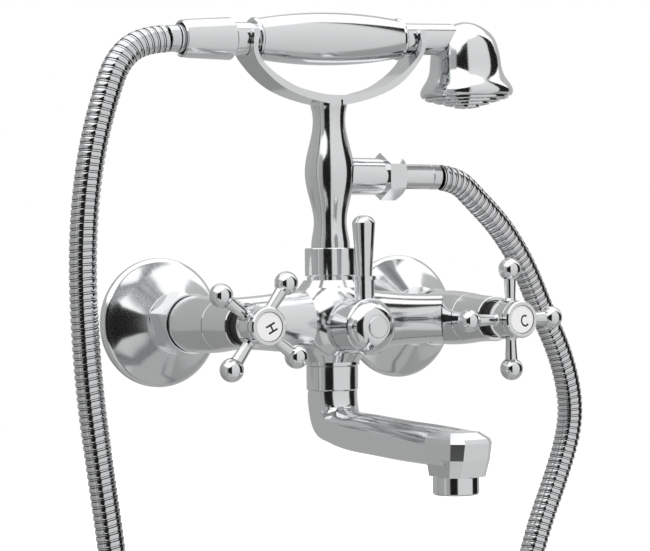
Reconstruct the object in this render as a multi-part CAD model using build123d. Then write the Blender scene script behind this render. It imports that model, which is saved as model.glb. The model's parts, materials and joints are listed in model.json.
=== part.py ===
from build123d import *
import os
from math import cos, pi, radians, sin, sqrt

# Bath shower mixer for two inlets in a wall, in millimetres.
# The wall is the plane Y = 0, the user stands towards -Y, Z is up, X is to the user's right.
# The origin lies on the wall, midway between the two inlets, at the height of their axes.
# A depth is a distance from the wall towards the user. Both valves lie on their inlets' axes.

# Distances that place the sub-assemblies
inlet_pitch = 150.0
diverter_drop = 2.4
cradle_shift = 1.75
cradle_lean = 2.0

# Clearances, and the overrun that opens a cut past its face
overrun = 1.0
seat_gap = 0.3
fit_gap = 0.1
running_gap = 0.05

# Wall union, with its inlet thread in the wall
inlet_thread_radius = 10.48
inlet_thread_length = 14.0
union_neck_radius = 10.0
union_bore_radius = 7.0
union_male_radius = 13.1

# Wall flange, a thin domed shell with a short rim
flange_radius = 34.2
flange_rim = 5.2
flange_lip = 2.0
flange_depth = 19.7
flange_mouth_radius = 15.2
flange_wall = 1.2
flange_crown = 1.6
lip_bulge_share = 0.29
union_male_gap = 1.3
union_male_length = 9.0
union_male_start = flange_depth + union_male_gap
union_male_end = union_male_start + union_male_length

# Union nut with its washer face, and the washer in it
union_nut_across = 29.6
union_nut_round_radius = 16.9
union_nut_end_radius = 14.9
union_nut_chamfer = 2.6
union_nut_face_radius = 16.3
union_nut_face = 1.2
union_nut_turn = 12.0
union_shoulder = 2.5
washer_thickness = 2.0
washer_bore_radius = 8.0
tail_collar = 1.5
union_nut_end = union_male_end + washer_thickness + tail_collar + union_shoulder

# Tail of the mixer body that the union nut holds
tail_collar_radius = 12.9
tail_radius = 11.0
lip_radius = 15.6
lip_start = union_nut_end + seat_gap
lip = 4.2
lip_end = lip_start + lip
groove_radius = 13.4
groove = 1.5
groove_end = lip_end + groove

# Legs of the mixer body, and the depth of the bar and the riser
bar_setback = 11.8
bar_standoff = groove_end + bar_setback
leg_radius = 14.65
leg_front_radius = 13.35
leg_reach = 21.2
leg_end = bar_standoff + leg_reach
leg_shares = [(0.36, 1.0), (0.79, 0.957)]
leg_seam_edge = 0.35
leg_bore_radius = 6.5
chamber_radius = 10.0
seat_setback = 31.0
seat_depth = leg_end - seat_setback

# Bar of the mixer body, and the ball in its middle with a shoulder and a neck above and below
bar_radius = 16.4
bar_shares = [(0.40, 0.945), (0.62, 0.85), (0.77, 0.815), (0.93, 0.80)]
bar_bore_radius = 6.0
core_ball_radius = 24.7
core_shoulder_start = 17.6
core_shoulder_radius = 14.4
core_shoulder_top = 21.5
core_neck_radius = 12.7
core_neck = 1.9
core_lower_neck = 1.6
core_neck_top = core_shoulder_top + core_neck
core_neck_bottom = core_shoulder_top + core_lower_neck
core_bore_radius = 8.0
core_thread_radius = 11.7
core_thread_bottom = 30.0

# Diverter in the drum on the front of the body
drum_radius = 14.6
drum_reach = 23.7
drum_end = bar_standoff + drum_reach
drum_bore_radius = 10.8
drum_bore = 19.5
drum_bore_start = drum_end - drum_bore
diverter_bore_radius = 8.0
diverter_guide = 7.5
diverter_guide_start = drum_end - diverter_guide
diverter_stem_radius = 5.0
diverter_ring_radius = 0.5
diverter_ring_setback = 3.9
diverter_ring_depth = drum_end - diverter_ring_setback
knob_radius = 14.5
knob_edge = 0.5
knob_front_radius = 7.0
knob_shares = [(0.865, 0.45), (0.70, 0.79)]
knob_recess_radius = 5.9
knob_recess = 3.2
cap_proud = 0.9
cap_edge = 0.8
cap_round_share = 0.3
cap_shank_radius = 2.4
cap_shank = 12.0
lever_setback = 10.0
lever_depth = drum_end + lever_setback
lever_boss_radius = 5.2
lever_boss_room = 0.3
knob_shoulder = lever_depth + lever_boss_radius + lever_boss_room
knob_dome = 7.8
knob_front = knob_shoulder + knob_dome
knob_web = 2.6
diverter_stem_end = knob_front - knob_recess - knob_web
lever_boss_top = 21.6
lever_collar_radius = 6.1
lever_collar = 2.0
lever_root_radius = 4.0
lever_tip_radius = 6.0
lever_rod = 29.4
lever_rod_top = lever_boss_top + lever_rod
lever_dome = 3.8
lever_top = lever_rod_top + lever_dome
lever_stud_radius = 2.5
lever_stud = 8.0
lever_dome_share = 0.72
lever_dome_rise_share = 0.68

# Ceramic headwork in each leg
barrel_radius = 9.7
barrel_bore_radius = 7.8
barrel_guide_radius = 7.0
barrel_proud = 21.5
barrel_front = leg_end + barrel_proud
barrel_hex_across = 20.0
barrel_hex = 4.0
barrel_window_radius = 2.6
barrel_windows = 3
seal_bore_radius = 5.2
seal_radius = 9.0
seal_thickness = 2.2
disc_radius = 7.5
disc_thickness = 2.4
disc_port_radius = 2.1
disc_port_reach = 4.4
spindle_radius = 4.0
spindle_foot_radius = 7.4
spindle_foot = 2.0
spindle_foot_room = 6.9
spindle_foot_start = seat_depth + seal_thickness + 2 * disc_thickness + fit_gap
barrel_guide_start = spindle_foot_start + spindle_foot + spindle_foot_room
spline_radius = 3.8
spindle_ring_radius = 0.6
spindle_ring_setback = 6.5
spindle_ring_depth = barrel_front - spindle_ring_setback

# Tapered bonnet over the headwork
bonnet_lap = 1.0
bonnet_front = barrel_front + bonnet_lap
bonnet_radius = 11.9
bonnet_edge = 0.4
bonnet_shares = [(0.25, 0.56), (0.53, 0.21)]
bonnet_mouth_radius = 9.25
bonnet_mouth = 0.6
bonnet_bore_radius = 7.1
bonnet_cavity_radius = 11.75
bonnet_cone = 5.0
dust_ring_radius = 9.05

# Cross handle
handle_gap = 8.7
handle_back = bonnet_front + handle_gap
hub_skirt_radius = 10.4
hub_skirt = 0.8
hub_radius = 9.6
hub_edge = 0.4
hub_recess_radius = 7.1
hub_recess = 3.7
arm_setback = 4.7
arm_depth = handle_back + arm_setback
hub_cover = 6.1
hub_front = arm_depth + hub_cover
spline_setback = 1.3
spline_end = hub_front - hub_recess - spline_setback
arm_reach = 26.0
arm_count = 4
ball_radius = 5.95
arm_root_radius = 2.75
arm_tip_radius = 3.35
arm_flare = 0.6
arm_flare_length = 1.5
arm_stud_radius = 2.0
arm_stud = 2.2
grub_radius = 0.9
grub_length = 1.9
grub_place = 10.9
hot_turn = 53.4
cold_turn = 0.5
hot_grub_arm = 1
cold_grub_arm = 2
index_ring_radius = 9.65
index_ring_rise = 4.6
index_ring_front = hub_front + index_ring_rise
index_ring_edge = 0.7
index_disc_radius = 7.4
index_disc_sink = 0.4
index_disc_front = index_ring_front - index_disc_sink
index_disc = 1.6

# Riser nut, riser column and the outlet on its side
riser_nut_radius = 13.7
riser_nut = 14.7
riser_nut_bottom = core_neck_top + seat_gap
riser_nut_top = riser_nut_bottom + riser_nut
nut_shoulder = 3.0
nut_edge = 0.5
riser_seal = 1.6
riser_collar = 1.4
core_thread_top = riser_nut_top - nut_shoulder - riser_collar - riser_seal
riser_collar_radius = 11.4
riser_foot_radius = 10.2
riser_length = 74.5
riser_top = riser_nut_top + riser_length
riser_shares = [
    (0.056, 0.977), (0.127, 0.887), (0.184, 0.851), (0.270, 0.923), (0.340, 1.047), (0.411, 1.176),
    (0.517, 1.285), (0.623, 1.227), (0.694, 1.112), (0.765, 0.982), (0.836, 0.878), (0.906, 0.840), (1.0, 0.945),
]
riser_bore_radius = 6.0
outlet_rise = 38.0
outlet_height = riser_nut_top + outlet_rise
riser_bore_room = 5.6
riser_bore_top = outlet_height + riser_bore_room
outlet_radius = 9.77
outlet_end = 31.3
outlet_thread_radius = 9.1
outlet_thread_end = 38.0
check_valve_length = 9.0
check_valve_start = 22.0
check_valve_bore_radius = 3.2

# Hexagon nut of the hose, its washer and its ferrule
hose_nut_across = 22.2
hose_nut_end = 43.0
hose_nut_front_radius = 9.6
hose_nut_chamfer = 2.4
hose_nut_back_chamfer = 0.8
hose_nut_shoulder = 2.0
hose_washer = 1.5
ferrule_collar = 1.5
ferrule_collar_radius = 8.6
lower_ferrule_radius = 6.7
lower_ferrule_end = 61.7
ferrule_bore_radius = 4.2

# Cradle: a bent hoop with a hook at each end, on a foot in the column
cradle_half_span = 50.65
ear_thickness = 3.1
hook_radius = 8.8
hoop_depth = 18.0
ear_depth = 23.0
ear_rise = 5.0
ear_neck = 3.0
ear_root = 13.0
hoop_drop = 35.2
hoop_foot = 0.5
handset_height = riser_top + hoop_drop + hoop_foot
hoop_outer_shares = [(0.97, 0.30), (0.905, 0.43), (0.81, 0.57), (0.69, 0.705), (0.54, 0.815), (0.36, 0.905),
                     (0.19, 0.965)]
hoop_inner_shares = [(0.975, 0.29), (0.91, 0.39), (0.82, 0.50), (0.70, 0.61), (0.555, 0.715), (0.37, 0.79),
                     (0.19, 0.84)]
hoop_bottom_share = 0.855
cradle_edge = 0.6
cradle_foot_radius = 9.65
cradle_foot = 3.3
cradle_foot_top = riser_top + cradle_foot
cradle_spigot_radius = 6.0
cradle_spigot = 10.0

# Spout nut, swivel ring and spout
spout_nut_radius = 13.6
spout_nut_bottom = 36.3
spout_tail_radius = 7.7
spout_tail_top = 15.0
spout_collar_radius = 11.2
spout_collar = 2.0
spout_shank_radius = 9.0
spout_bore_radius = 6.0
spout_reach = 116.2
spout_drop = 33.0
spout_half_width = 11.4
spout_bore_drop = 22.0
spout_bore_bend = 12.0
spout_orings = [0.30, 0.62]
spout_oring_radius = 0.7
# Stations of the spout from its nut to its tip: reach and drop of the underside, reach and drop of
# the crest, the shares of the way between them where the flat side begins and ends, and the width share
spout_station_shares = [
    (-0.100, 0.000, 0.109, 0.000, 0.25, 0.74, 1.010),
    (-0.096, 0.240, 0.110, 0.133, 0.22, 0.74, 1.005),
    (-0.071, 0.485, 0.114, 0.212, 0.19, 0.73, 1.000),
    (-0.024, 0.706, 0.124, 0.270, 0.16, 0.72, 0.995),
    (0.053, 0.818, 0.148, 0.300, 0.13, 0.70, 0.990),
    (0.157, 0.885, 0.200, 0.312, 0.12, 0.68, 0.985),
    (0.320, 0.940, 0.322, 0.322, 0.11, 0.66, 0.980),
    (0.562, 0.970, 0.562, 0.358, 0.11, 0.66, 0.975),
    (0.742, 0.985, 0.742, 0.376, 0.11, 0.62, 0.980),
    (0.897, 0.990, 0.897, 0.390, 0.11, 0.55, 1.000),
    (1.060, 0.990, 1.060, 0.415, 0.11, 0.46, 1.000),
]
# Block at the spout's tip, as levels of drop, half width, back and front reach, and corner cut
tip_level_shares = [
    (1.105, 0.920, 0.918, 1.118, 0.32),
    (0.850, 1.010, 0.908, 1.146, 0.40),
    (0.606, 1.050, 0.900, 1.160, 0.44),
    (0.545, 1.000, 0.900, 1.150, 0.42),
    (0.455, 0.720, 0.905, 1.105, 0.36),
]

# Aerator in the tip
aerator_radius = 11.3
aerator_top_gap = 0.5
aerator_length = 8.5
aerator_edge = 0.8
aerator_thread_radius = 9.0
aerator_thread = 7.0
aerator_wall = 1.6
aerator_insert_radius = 9.4
aerator_insert = 5.0
aerator_recess = 1.6
aerator_washer = 1.6
aerator_washer_bore = 6.6
aerator_hole_radius = 0.9
aerator_hole_rings = [(0.36, 7), (0.70, 14)]

# Handset, in its own line: lengths run along its axis from the riser's axis
cone_nut_start = -84.0
cone_nut_end = -58.5
cone_nut_radius = 9.9
cone_nut_end_radius = 11.0
cone_nut_edge = 1.0
cone_nut_shoulder = 8.5
handset_tube_radius = 8.5
handset_tube_start = -72.0
handset_tube_end = 77.0
handset_bore_radius = 6.0
handset_washer = 1.5
upper_ferrule_radius = 7.2
upper_ferrule_start = -89.0
grip_start = -43.3
grip_end = 42.0
grip_radius = 13.85
grip_end_radius = 10.5
grip_ring_radius = 11.1
grip_ring = 2.4
grip_bore_gap = 0.1

# Shower head, with heights from the handset's axis
head_place = 86.7
head_top = 9.4
head_wall = 1.5
head_rim_radius = 25.35
head_depth = 40.7
head_shares = [
    (0.150, 0.012), (0.290, 0.042), (0.440, 0.098), (0.548, 0.155), (0.655, 0.248), (0.718, 0.368),
    (0.757, 0.504), (0.781, 0.639), (0.864, 0.772), (0.974, 0.880), (1.0, 0.934), (0.966, 1.0),
]
head_socket_wall = 1.4
plate_radius = 23.4
plate_inset = 2.0
plate_step = 1.5
plate_step_shares = [0.957, 0.897, 0.654, 0.457, 0.244]
spray_hole_radius = 0.7
spray_rings = [(0.33, 8), (0.54, 14), (0.76, 22)]
gasket_thickness = 1.2
gasket_bore_radius = 18.0

# Hose: a ribbed metal tube that hangs in a loop from the handset to the outlet
hose_radius = 7.0
hose_valley_radius = 6.4
hose_bore_radius = 4.5
hose_ribs = 198
hose_straight = 14.0
rib_start_share = 0.10
rib_top_share = 0.28
rib_fall_share = 0.72
rib_end_share = 0.90
bend_share = 0.45
# Route in X and Z, from the handset's ferrule, down the left, through the loop and up to the outlet
hose_route = [
    (-89.25, 145.48), (-114.93, 144.59), (-137.1, 130.8), (-150.2, 105.6), (-149.2, 58.0), (-147.6, 6.0),
    (-144.2, -46.0), (-137.6, -100.0), (-129.0, -161.0), (-118.5, -224.0), (-103.0, -288.0),
    (-80.0, -348.0), (-45.0, -399.0), (-1.0, -421.0), (43.0, -407.0), (77.0, -366.0), (98.0, -311.0),
    (113.0, -252.0), (124.5, -193.0), (136.5, -139.0), (150.0, -99.0), (157.5, -63.0), (154.5, -27.0),
    (142.5, 9.0), (128.5, 41.0), (110.6, 63.4), (87.9, 76.4), (62.0, 76.4),
]


def turned(first, *rest):
    """Solid turned about Z. A pair is a corner, as radius and height, and a list of pairs is a smooth curve."""
    corner = first
    edges = []
    for step in rest:
        through = [corner] + (step if isinstance(step, list) else [step])
        points = [(radius, 0, height) for radius, height in through]
        edges.append(Spline(*points) if len(points) > 2 else Line(*points))
        corner = through[-1]
    edges.append(Line((corner[0], 0, corner[1]), (first[0], 0, first[1])))
    return revolve(make_face(edges), Axis.Z)


def rod(radius, bottom, top):
    """Round rod about Z from one height to another."""
    return turned((0, bottom), (radius, bottom), (radius, top), (0, top))


def sleeve(bore, radius, bottom, top):
    """Ring or sleeve about Z from one height to another."""
    return turned((bore, bottom), (radius, bottom), (radius, top), (bore, top))


def o_ring(centre_radius, section_radius, height):
    """Round rubber ring about Z."""
    return Pos(0, 0, height) * Torus(centre_radius, section_radius)


def from_wall(shape, x, z=0):
    """Turns a shape's +Z away from the wall, so that its heights are depths."""
    return Pos(x, 0, z) * Rot(90, 0, 0) * shape


def on_riser(shape, z=0):
    """Moves a shape onto the vertical axis of the riser and the spout."""
    return Pos(0, -bar_standoff, z) * shape


def to_the_right(shape, z=0):
    """Turns a shape's +Z along +X and moves it onto the bar's plane."""
    return on_riser(Rot(0, 90, 0) * shape, z)


def in_handset_line(shape):
    """Moves a shape from the handset's own line, along X through the origin, to its place on the cradle."""
    return on_riser(Rot(0, -cradle_lean, 0) * shape, handset_height)


def hexagon(across, bottom, top, turn=0):
    """Hexagonal bar about Z."""
    flat = RegularPolygon(across / 2, 6, major_radius=False, rotation=turn)
    return Pos(0, 0, bottom) * extrude(flat, top - bottom)


def scaled_curve(shares, radius, start, end):
    """Pairs of radius and height from pairs of height share and radius share."""
    return [(radius * wide, start + (end - start) * high) for high, wide in shares]


def flange_edge(inset):
    """Corners of the flange's dome, moved inwards by a wall thickness."""
    middle_radius = (flange_radius - flange_lip + flange_mouth_radius) / 2
    middle_depth = (flange_rim + flange_depth) / 2
    return [
        (flange_radius - inset, flange_rim - flange_lip - inset / 2),
        (flange_radius - flange_lip - inset / 2, flange_rim - inset),
        (middle_radius + flange_crown / 2 - inset / 2, middle_depth + flange_crown - inset),
        (flange_mouth_radius, flange_depth - inset),
    ]


def wall_flange():
    """Domed cover of the inlet, open at the wall."""
    outer = flange_edge(0)
    inner = flange_edge(flange_wall)
    bulge = flange_lip * lip_bulge_share
    lip_middle = (flange_radius - bulge, flange_rim - bulge)
    return turned(
        (flange_radius, 0), outer[0], [lip_middle, outer[1]], [outer[2], outer[3]], inner[3],
        [inner[2], inner[1]], inner[0], (flange_radius - flange_wall, 0),
    )


def wall_union():
    """Straight union from the wall's thread to the union nut's thread."""
    return turned(
        (union_bore_radius, -inlet_thread_length), (inlet_thread_radius, -inlet_thread_length),
        (inlet_thread_radius, 0), (union_neck_radius, 0), (union_neck_radius, union_male_start),
        (union_male_radius, union_male_start), (union_male_radius, union_male_end),
        (union_bore_radius, union_male_end),
    )


def union_nut():
    """Hexagon nut with chamfered ends and a round washer face towards the flange."""
    start = flange_depth + seat_gap
    hex_start = start + union_nut_face
    body = hexagon(union_nut_across, hex_start, union_nut_end, union_nut_turn + 30)
    body &= turned(
        (0, hex_start), (union_nut_end_radius, hex_start),
        (union_nut_round_radius, hex_start + union_nut_chamfer / 2),
        (union_nut_round_radius, union_nut_end - union_nut_chamfer), (union_nut_end_radius, union_nut_end),
        (0, union_nut_end),
    )
    body += rod(union_nut_face_radius, start, hex_start)
    shoulder = union_nut_end - union_shoulder
    body -= rod(union_male_radius + fit_gap, start - overrun, shoulder)
    return body - rod(tail_radius + seat_gap, start, union_nut_end + overrun)


def leg():
    """One leg of the body with the tail for its union nut, bored for water and for the headwork."""
    shoulder = union_nut_end - union_shoulder
    tail_start = union_male_end + washer_thickness
    taper = scaled_curve(leg_shares, leg_radius, groove_end, leg_end)
    return turned(
        (leg_bore_radius, tail_start), (tail_collar_radius, tail_start), (tail_collar_radius, shoulder),
        (tail_radius, shoulder), (tail_radius, lip_start), (lip_radius, lip_start), (lip_radius, lip_end),
        (groove_radius, lip_end), (groove_radius, groove_end), (leg_radius, groove_end), taper[0],
        [taper[1], (leg_front_radius, leg_end - leg_seam_edge)], (leg_front_radius - leg_seam_edge, leg_end),
        (chamber_radius, leg_end), (chamber_radius, seat_depth), (leg_bore_radius, seat_depth),
    )


def leg_hollow():
    """Water way of a leg, for cutting the bar where it joins."""
    front = turned((0, seat_depth), (chamber_radius, seat_depth), (chamber_radius, leg_end + overrun),
                   (0, leg_end + overrun))
    return front + rod(leg_bore_radius, union_male_end, seat_depth)


def core():
    """Ball in the middle of the body, with a shoulder, a neck and a thread above and below."""
    ball = Sphere(core_ball_radius) & rod(core_ball_radius, -core_neck_bottom, core_shoulder_top)
    start_radius = sqrt(core_ball_radius ** 2 - core_shoulder_start ** 2)
    upper = turned(
        (0, core_shoulder_start), (start_radius, core_shoulder_start), (core_shoulder_radius, core_shoulder_top),
        (core_neck_radius, core_shoulder_top), (core_neck_radius, core_neck_top),
        (core_thread_radius, core_neck_top), (core_thread_radius, core_thread_top), (0, core_thread_top),
    )
    lower = turned(
        (0, -core_thread_bottom), (core_thread_radius, -core_thread_bottom),
        (core_thread_radius, -core_neck_bottom), (core_shoulder_radius, -core_neck_bottom),
        (core_shoulder_radius, -core_shoulder_top), (start_radius, -core_shoulder_start), (0, -core_shoulder_start),
    )
    return ball + upper + lower


def mixer_body():
    """Cast body: two legs, the tapered bar, the ball in its middle and the diverter's drum, with their bores."""
    half_pitch = inlet_pitch / 2
    half_bar = scaled_curve(bar_shares, bar_radius, 0, half_pitch)
    inner_end = half_bar[-1]
    half = turned((0, 0), (bar_radius, 0), half_bar, (0, inner_end[1]))
    body = on_riser(core()) + to_the_right(half) + on_riser(Rot(0, -90, 0) * half)
    body += from_wall(rod(drum_radius, bar_standoff, drum_end), 0, -diverter_drop)
    for side in (-1, 1):
        body -= from_wall(rod(leg_radius - fit_gap, seat_depth, leg_end - 2 * washer_thickness), side * half_pitch)
        body += from_wall(leg(), side * half_pitch)
        body -= from_wall(leg_hollow(), side * half_pitch)
    body -= to_the_right(rod(bar_bore_radius, -half_pitch, half_pitch))
    body -= on_riser(rod(core_bore_radius, -core_thread_bottom - overrun, core_thread_top + overrun))
    return body - from_wall(rod(drum_bore_radius, drum_bore_start, drum_end + overrun), 0, -diverter_drop)


def headwork_barrel():
    """Brass barrel of the ceramic headwork, with its hexagon, windows and stem guide."""
    back = seat_depth + seal_thickness
    hex_end = leg_end + barrel_hex
    body = rod(barrel_radius, back, leg_end) + hexagon(barrel_hex_across, leg_end, hex_end)
    body += rod(barrel_guide_radius, leg_end, barrel_front)
    body -= rod(barrel_bore_radius, back - overrun, barrel_guide_start)
    body -= rod(spindle_radius + running_gap, back, barrel_front + overrun)
    ring_room = spindle_ring_radius + running_gap
    body -= sleeve(spindle_radius, spindle_radius + 2 * ring_room, spindle_ring_depth - ring_room,
                   spindle_ring_depth + ring_room)
    window_depth = barrel_guide_start - barrel_window_radius - fit_gap
    window = Rot(90, 0, 0) * rod(barrel_window_radius, 0, barrel_radius + overrun)
    for turn in range(barrel_windows):
        body -= Pos(0, 0, window_depth) * Rot(0, 0, turn * 360 / barrel_windows) * window
    return body


def ceramic_disc(depth, radius):
    """Ceramic disc with two ports."""
    disc = rod(radius, depth, depth + disc_thickness)
    for side in (-1, 1):
        disc -= Pos(side * disc_port_reach, 0, 0) * rod(disc_port_radius, depth - overrun,
                                                        depth + disc_thickness + overrun)
    return disc


def spindle():
    """Brass spindle, from the foot that turns the moving disc to the end that carries the handle."""
    foot = spindle_foot_start
    return turned(
        (0, foot), (spindle_foot_radius, foot), (spindle_foot_radius, foot + spindle_foot),
        (spindle_radius, foot + spindle_foot), (spindle_radius, handle_back - seat_gap),
        (spline_radius, handle_back - seat_gap), (spline_radius, spline_end), (0, spline_end),
    )


def valve_bonnet():
    """Chromed tapered cover that screws onto the headwork's guide and meets the leg."""
    taper = [(bonnet_radius + (leg_front_radius - bonnet_radius) * wide, leg_end + (bonnet_front - leg_end) * along)
             for along, wide in bonnet_shares]
    cavity_end = leg_end + barrel_hex + seat_gap
    mouth_floor = bonnet_front - bonnet_mouth
    return turned(
        (bonnet_cavity_radius, leg_end), (leg_front_radius - leg_seam_edge, leg_end),
        (leg_front_radius, leg_end + leg_seam_edge), [*taper, (bonnet_radius, bonnet_front - bonnet_edge)],
        (bonnet_radius - bonnet_edge, bonnet_front), (bonnet_mouth_radius + bonnet_mouth, bonnet_front),
        (bonnet_mouth_radius, mouth_floor), (bonnet_bore_radius, mouth_floor),
        (bonnet_bore_radius, cavity_end + bonnet_cone), (bonnet_cavity_radius, cavity_end),
    )


def handle_hub():
    """Hub of the cross handle, bored for the spindle, its four arms and its index ring."""
    skirt_end = handle_back + hub_skirt
    hub = turned(
        (spline_radius + running_gap, handle_back), (hub_skirt_radius, handle_back),
        (hub_skirt_radius, skirt_end), (hub_radius, skirt_end + hub_skirt / 2), (hub_radius, hub_front - hub_edge),
        (hub_radius - hub_edge, hub_front), (hub_recess_radius, hub_front),
        (hub_recess_radius, hub_front - hub_recess), (spline_radius + running_gap, hub_front - hub_recess),
    )
    socket_end = hub_radius - arm_stud - 2 * fit_gap
    socket = Rot(0, 90, 0) * rod(arm_stud_radius + running_gap, socket_end, hub_radius + overrun)
    for arm in range(arm_count):
        hub -= Pos(0, 0, arm_depth) * Rot(0, 0, arm * 360 / arm_count) * socket
    return hub


def handle_arms(grub_arm):
    """Four arms with ball ends. One has the hole of the grub screw near its root."""
    root = hub_radius - fit_gap
    arm = turned(
        (0, root - arm_stud), (arm_stud_radius, root - arm_stud), (arm_stud_radius, root),
        (arm_root_radius + arm_flare, root), (arm_root_radius, root + arm_flare_length),
        (arm_tip_radius, arm_reach - ball_radius / 2), (0, arm_reach - ball_radius / 2),
    )
    arm += Pos(0, 0, arm_reach) * Sphere(ball_radius)
    arm = Rot(0, 90, 0) * arm
    arm -= sleeve(arm_stud_radius, hub_radius + running_gap, -ball_radius, ball_radius) & Rot(0, 90, 0) * (
        sleeve(arm_stud_radius, ball_radius, 0, hub_radius + overrun))
    arms = []
    for place in range(arm_count):
        one = arm
        if place == grub_arm:
            one -= Pos(grub_place, 0, 0) * rod(grub_radius, arm_root_radius - grub_length, ball_radius)
        arms.append(Pos(0, 0, arm_depth) * Rot(0, 0, place * 360 / arm_count) * one)
    return Compound(arms)


def grub_screw(grub_arm):
    """Small headless screw in the root of one arm."""
    screw = rod(grub_radius - running_gap, arm_root_radius - grub_length, arm_root_radius - grub_length / 2)
    return Pos(0, 0, arm_depth) * Rot(0, 0, grub_arm * 360 / arm_count) * Pos(grub_place, 0, 0) * screw


def index_ring():
    """Ring that screws into the hub and frames the index disc."""
    start = hub_front + seat_gap
    return turned(
        (0, hub_front - hub_recess + seat_gap), (hub_recess_radius - running_gap, hub_front - hub_recess + seat_gap),
        (hub_recess_radius - running_gap, start), (index_ring_radius, start),
        (index_ring_radius, index_ring_front - index_ring_edge),
        (index_ring_radius - index_ring_edge, index_ring_front), (index_disc_radius, index_ring_front),
        (index_disc_radius, index_disc_front - index_disc), (0, index_disc_front - index_disc),
    )


def handle(side, turn, grub_arm, name):
    """Everything that turns with one handle, by node name."""
    x = side * inlet_pitch / 2
    moving_disc_depth = seat_depth + seal_thickness + disc_thickness + fit_gap
    pieces = {
        "spindle": spindle(),
        "moving_disc": ceramic_disc(moving_disc_depth, disc_radius - running_gap),
        "handle_hub": handle_hub(),
        "handle_arms": handle_arms(grub_arm),
        "grub_screw": grub_screw(grub_arm),
        "index_ring": index_ring(),
        "index_disc": rod(index_disc_radius - running_gap, index_disc_front - index_disc, index_disc_front),
    }
    return {f"{name}_{piece}": from_wall(Rot(0, 0, turn) * shape, x) for piece, shape in pieces.items()}


def inlets():
    """Pieces of the two inlets and headworks that don't move, by node name."""
    nodes = {}
    for name, side in (("hot", -1), ("cold", 1)):
        x = side * inlet_pitch / 2
        nodes[f"{name}_wall_union"] = from_wall(wall_union(), x)
        nodes[f"{name}_union_nut"] = from_wall(union_nut(), x)
        nodes[f"{name}_headwork_barrel"] = from_wall(headwork_barrel(), x)
        nodes[f"{name}_valve_bonnet"] = from_wall(valve_bonnet(), x)
    pairs = {
        "wall_flanges": wall_flange(),
        "union_washers": sleeve(washer_bore_radius, tail_collar_radius - fit_gap, union_male_end,
                                union_male_end + washer_thickness),
        "seat_seals": sleeve(seal_bore_radius, seal_radius, seat_depth, seat_depth + seal_thickness),
        "fixed_discs": ceramic_disc(seat_depth + seal_thickness, disc_radius),
        "spindle_rings": o_ring(spindle_radius + running_gap + spindle_ring_radius, spindle_ring_radius,
                                spindle_ring_depth),
        "dust_rings": sleeve(spindle_radius + seat_gap, dust_ring_radius, bonnet_front - bonnet_mouth,
                             handle_back - seat_gap),
    }
    for node, shape in pairs.items():
        nodes[node] = Compound([from_wall(shape, side * inlet_pitch / 2) for side in (-1, 1)])
    return nodes


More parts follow.
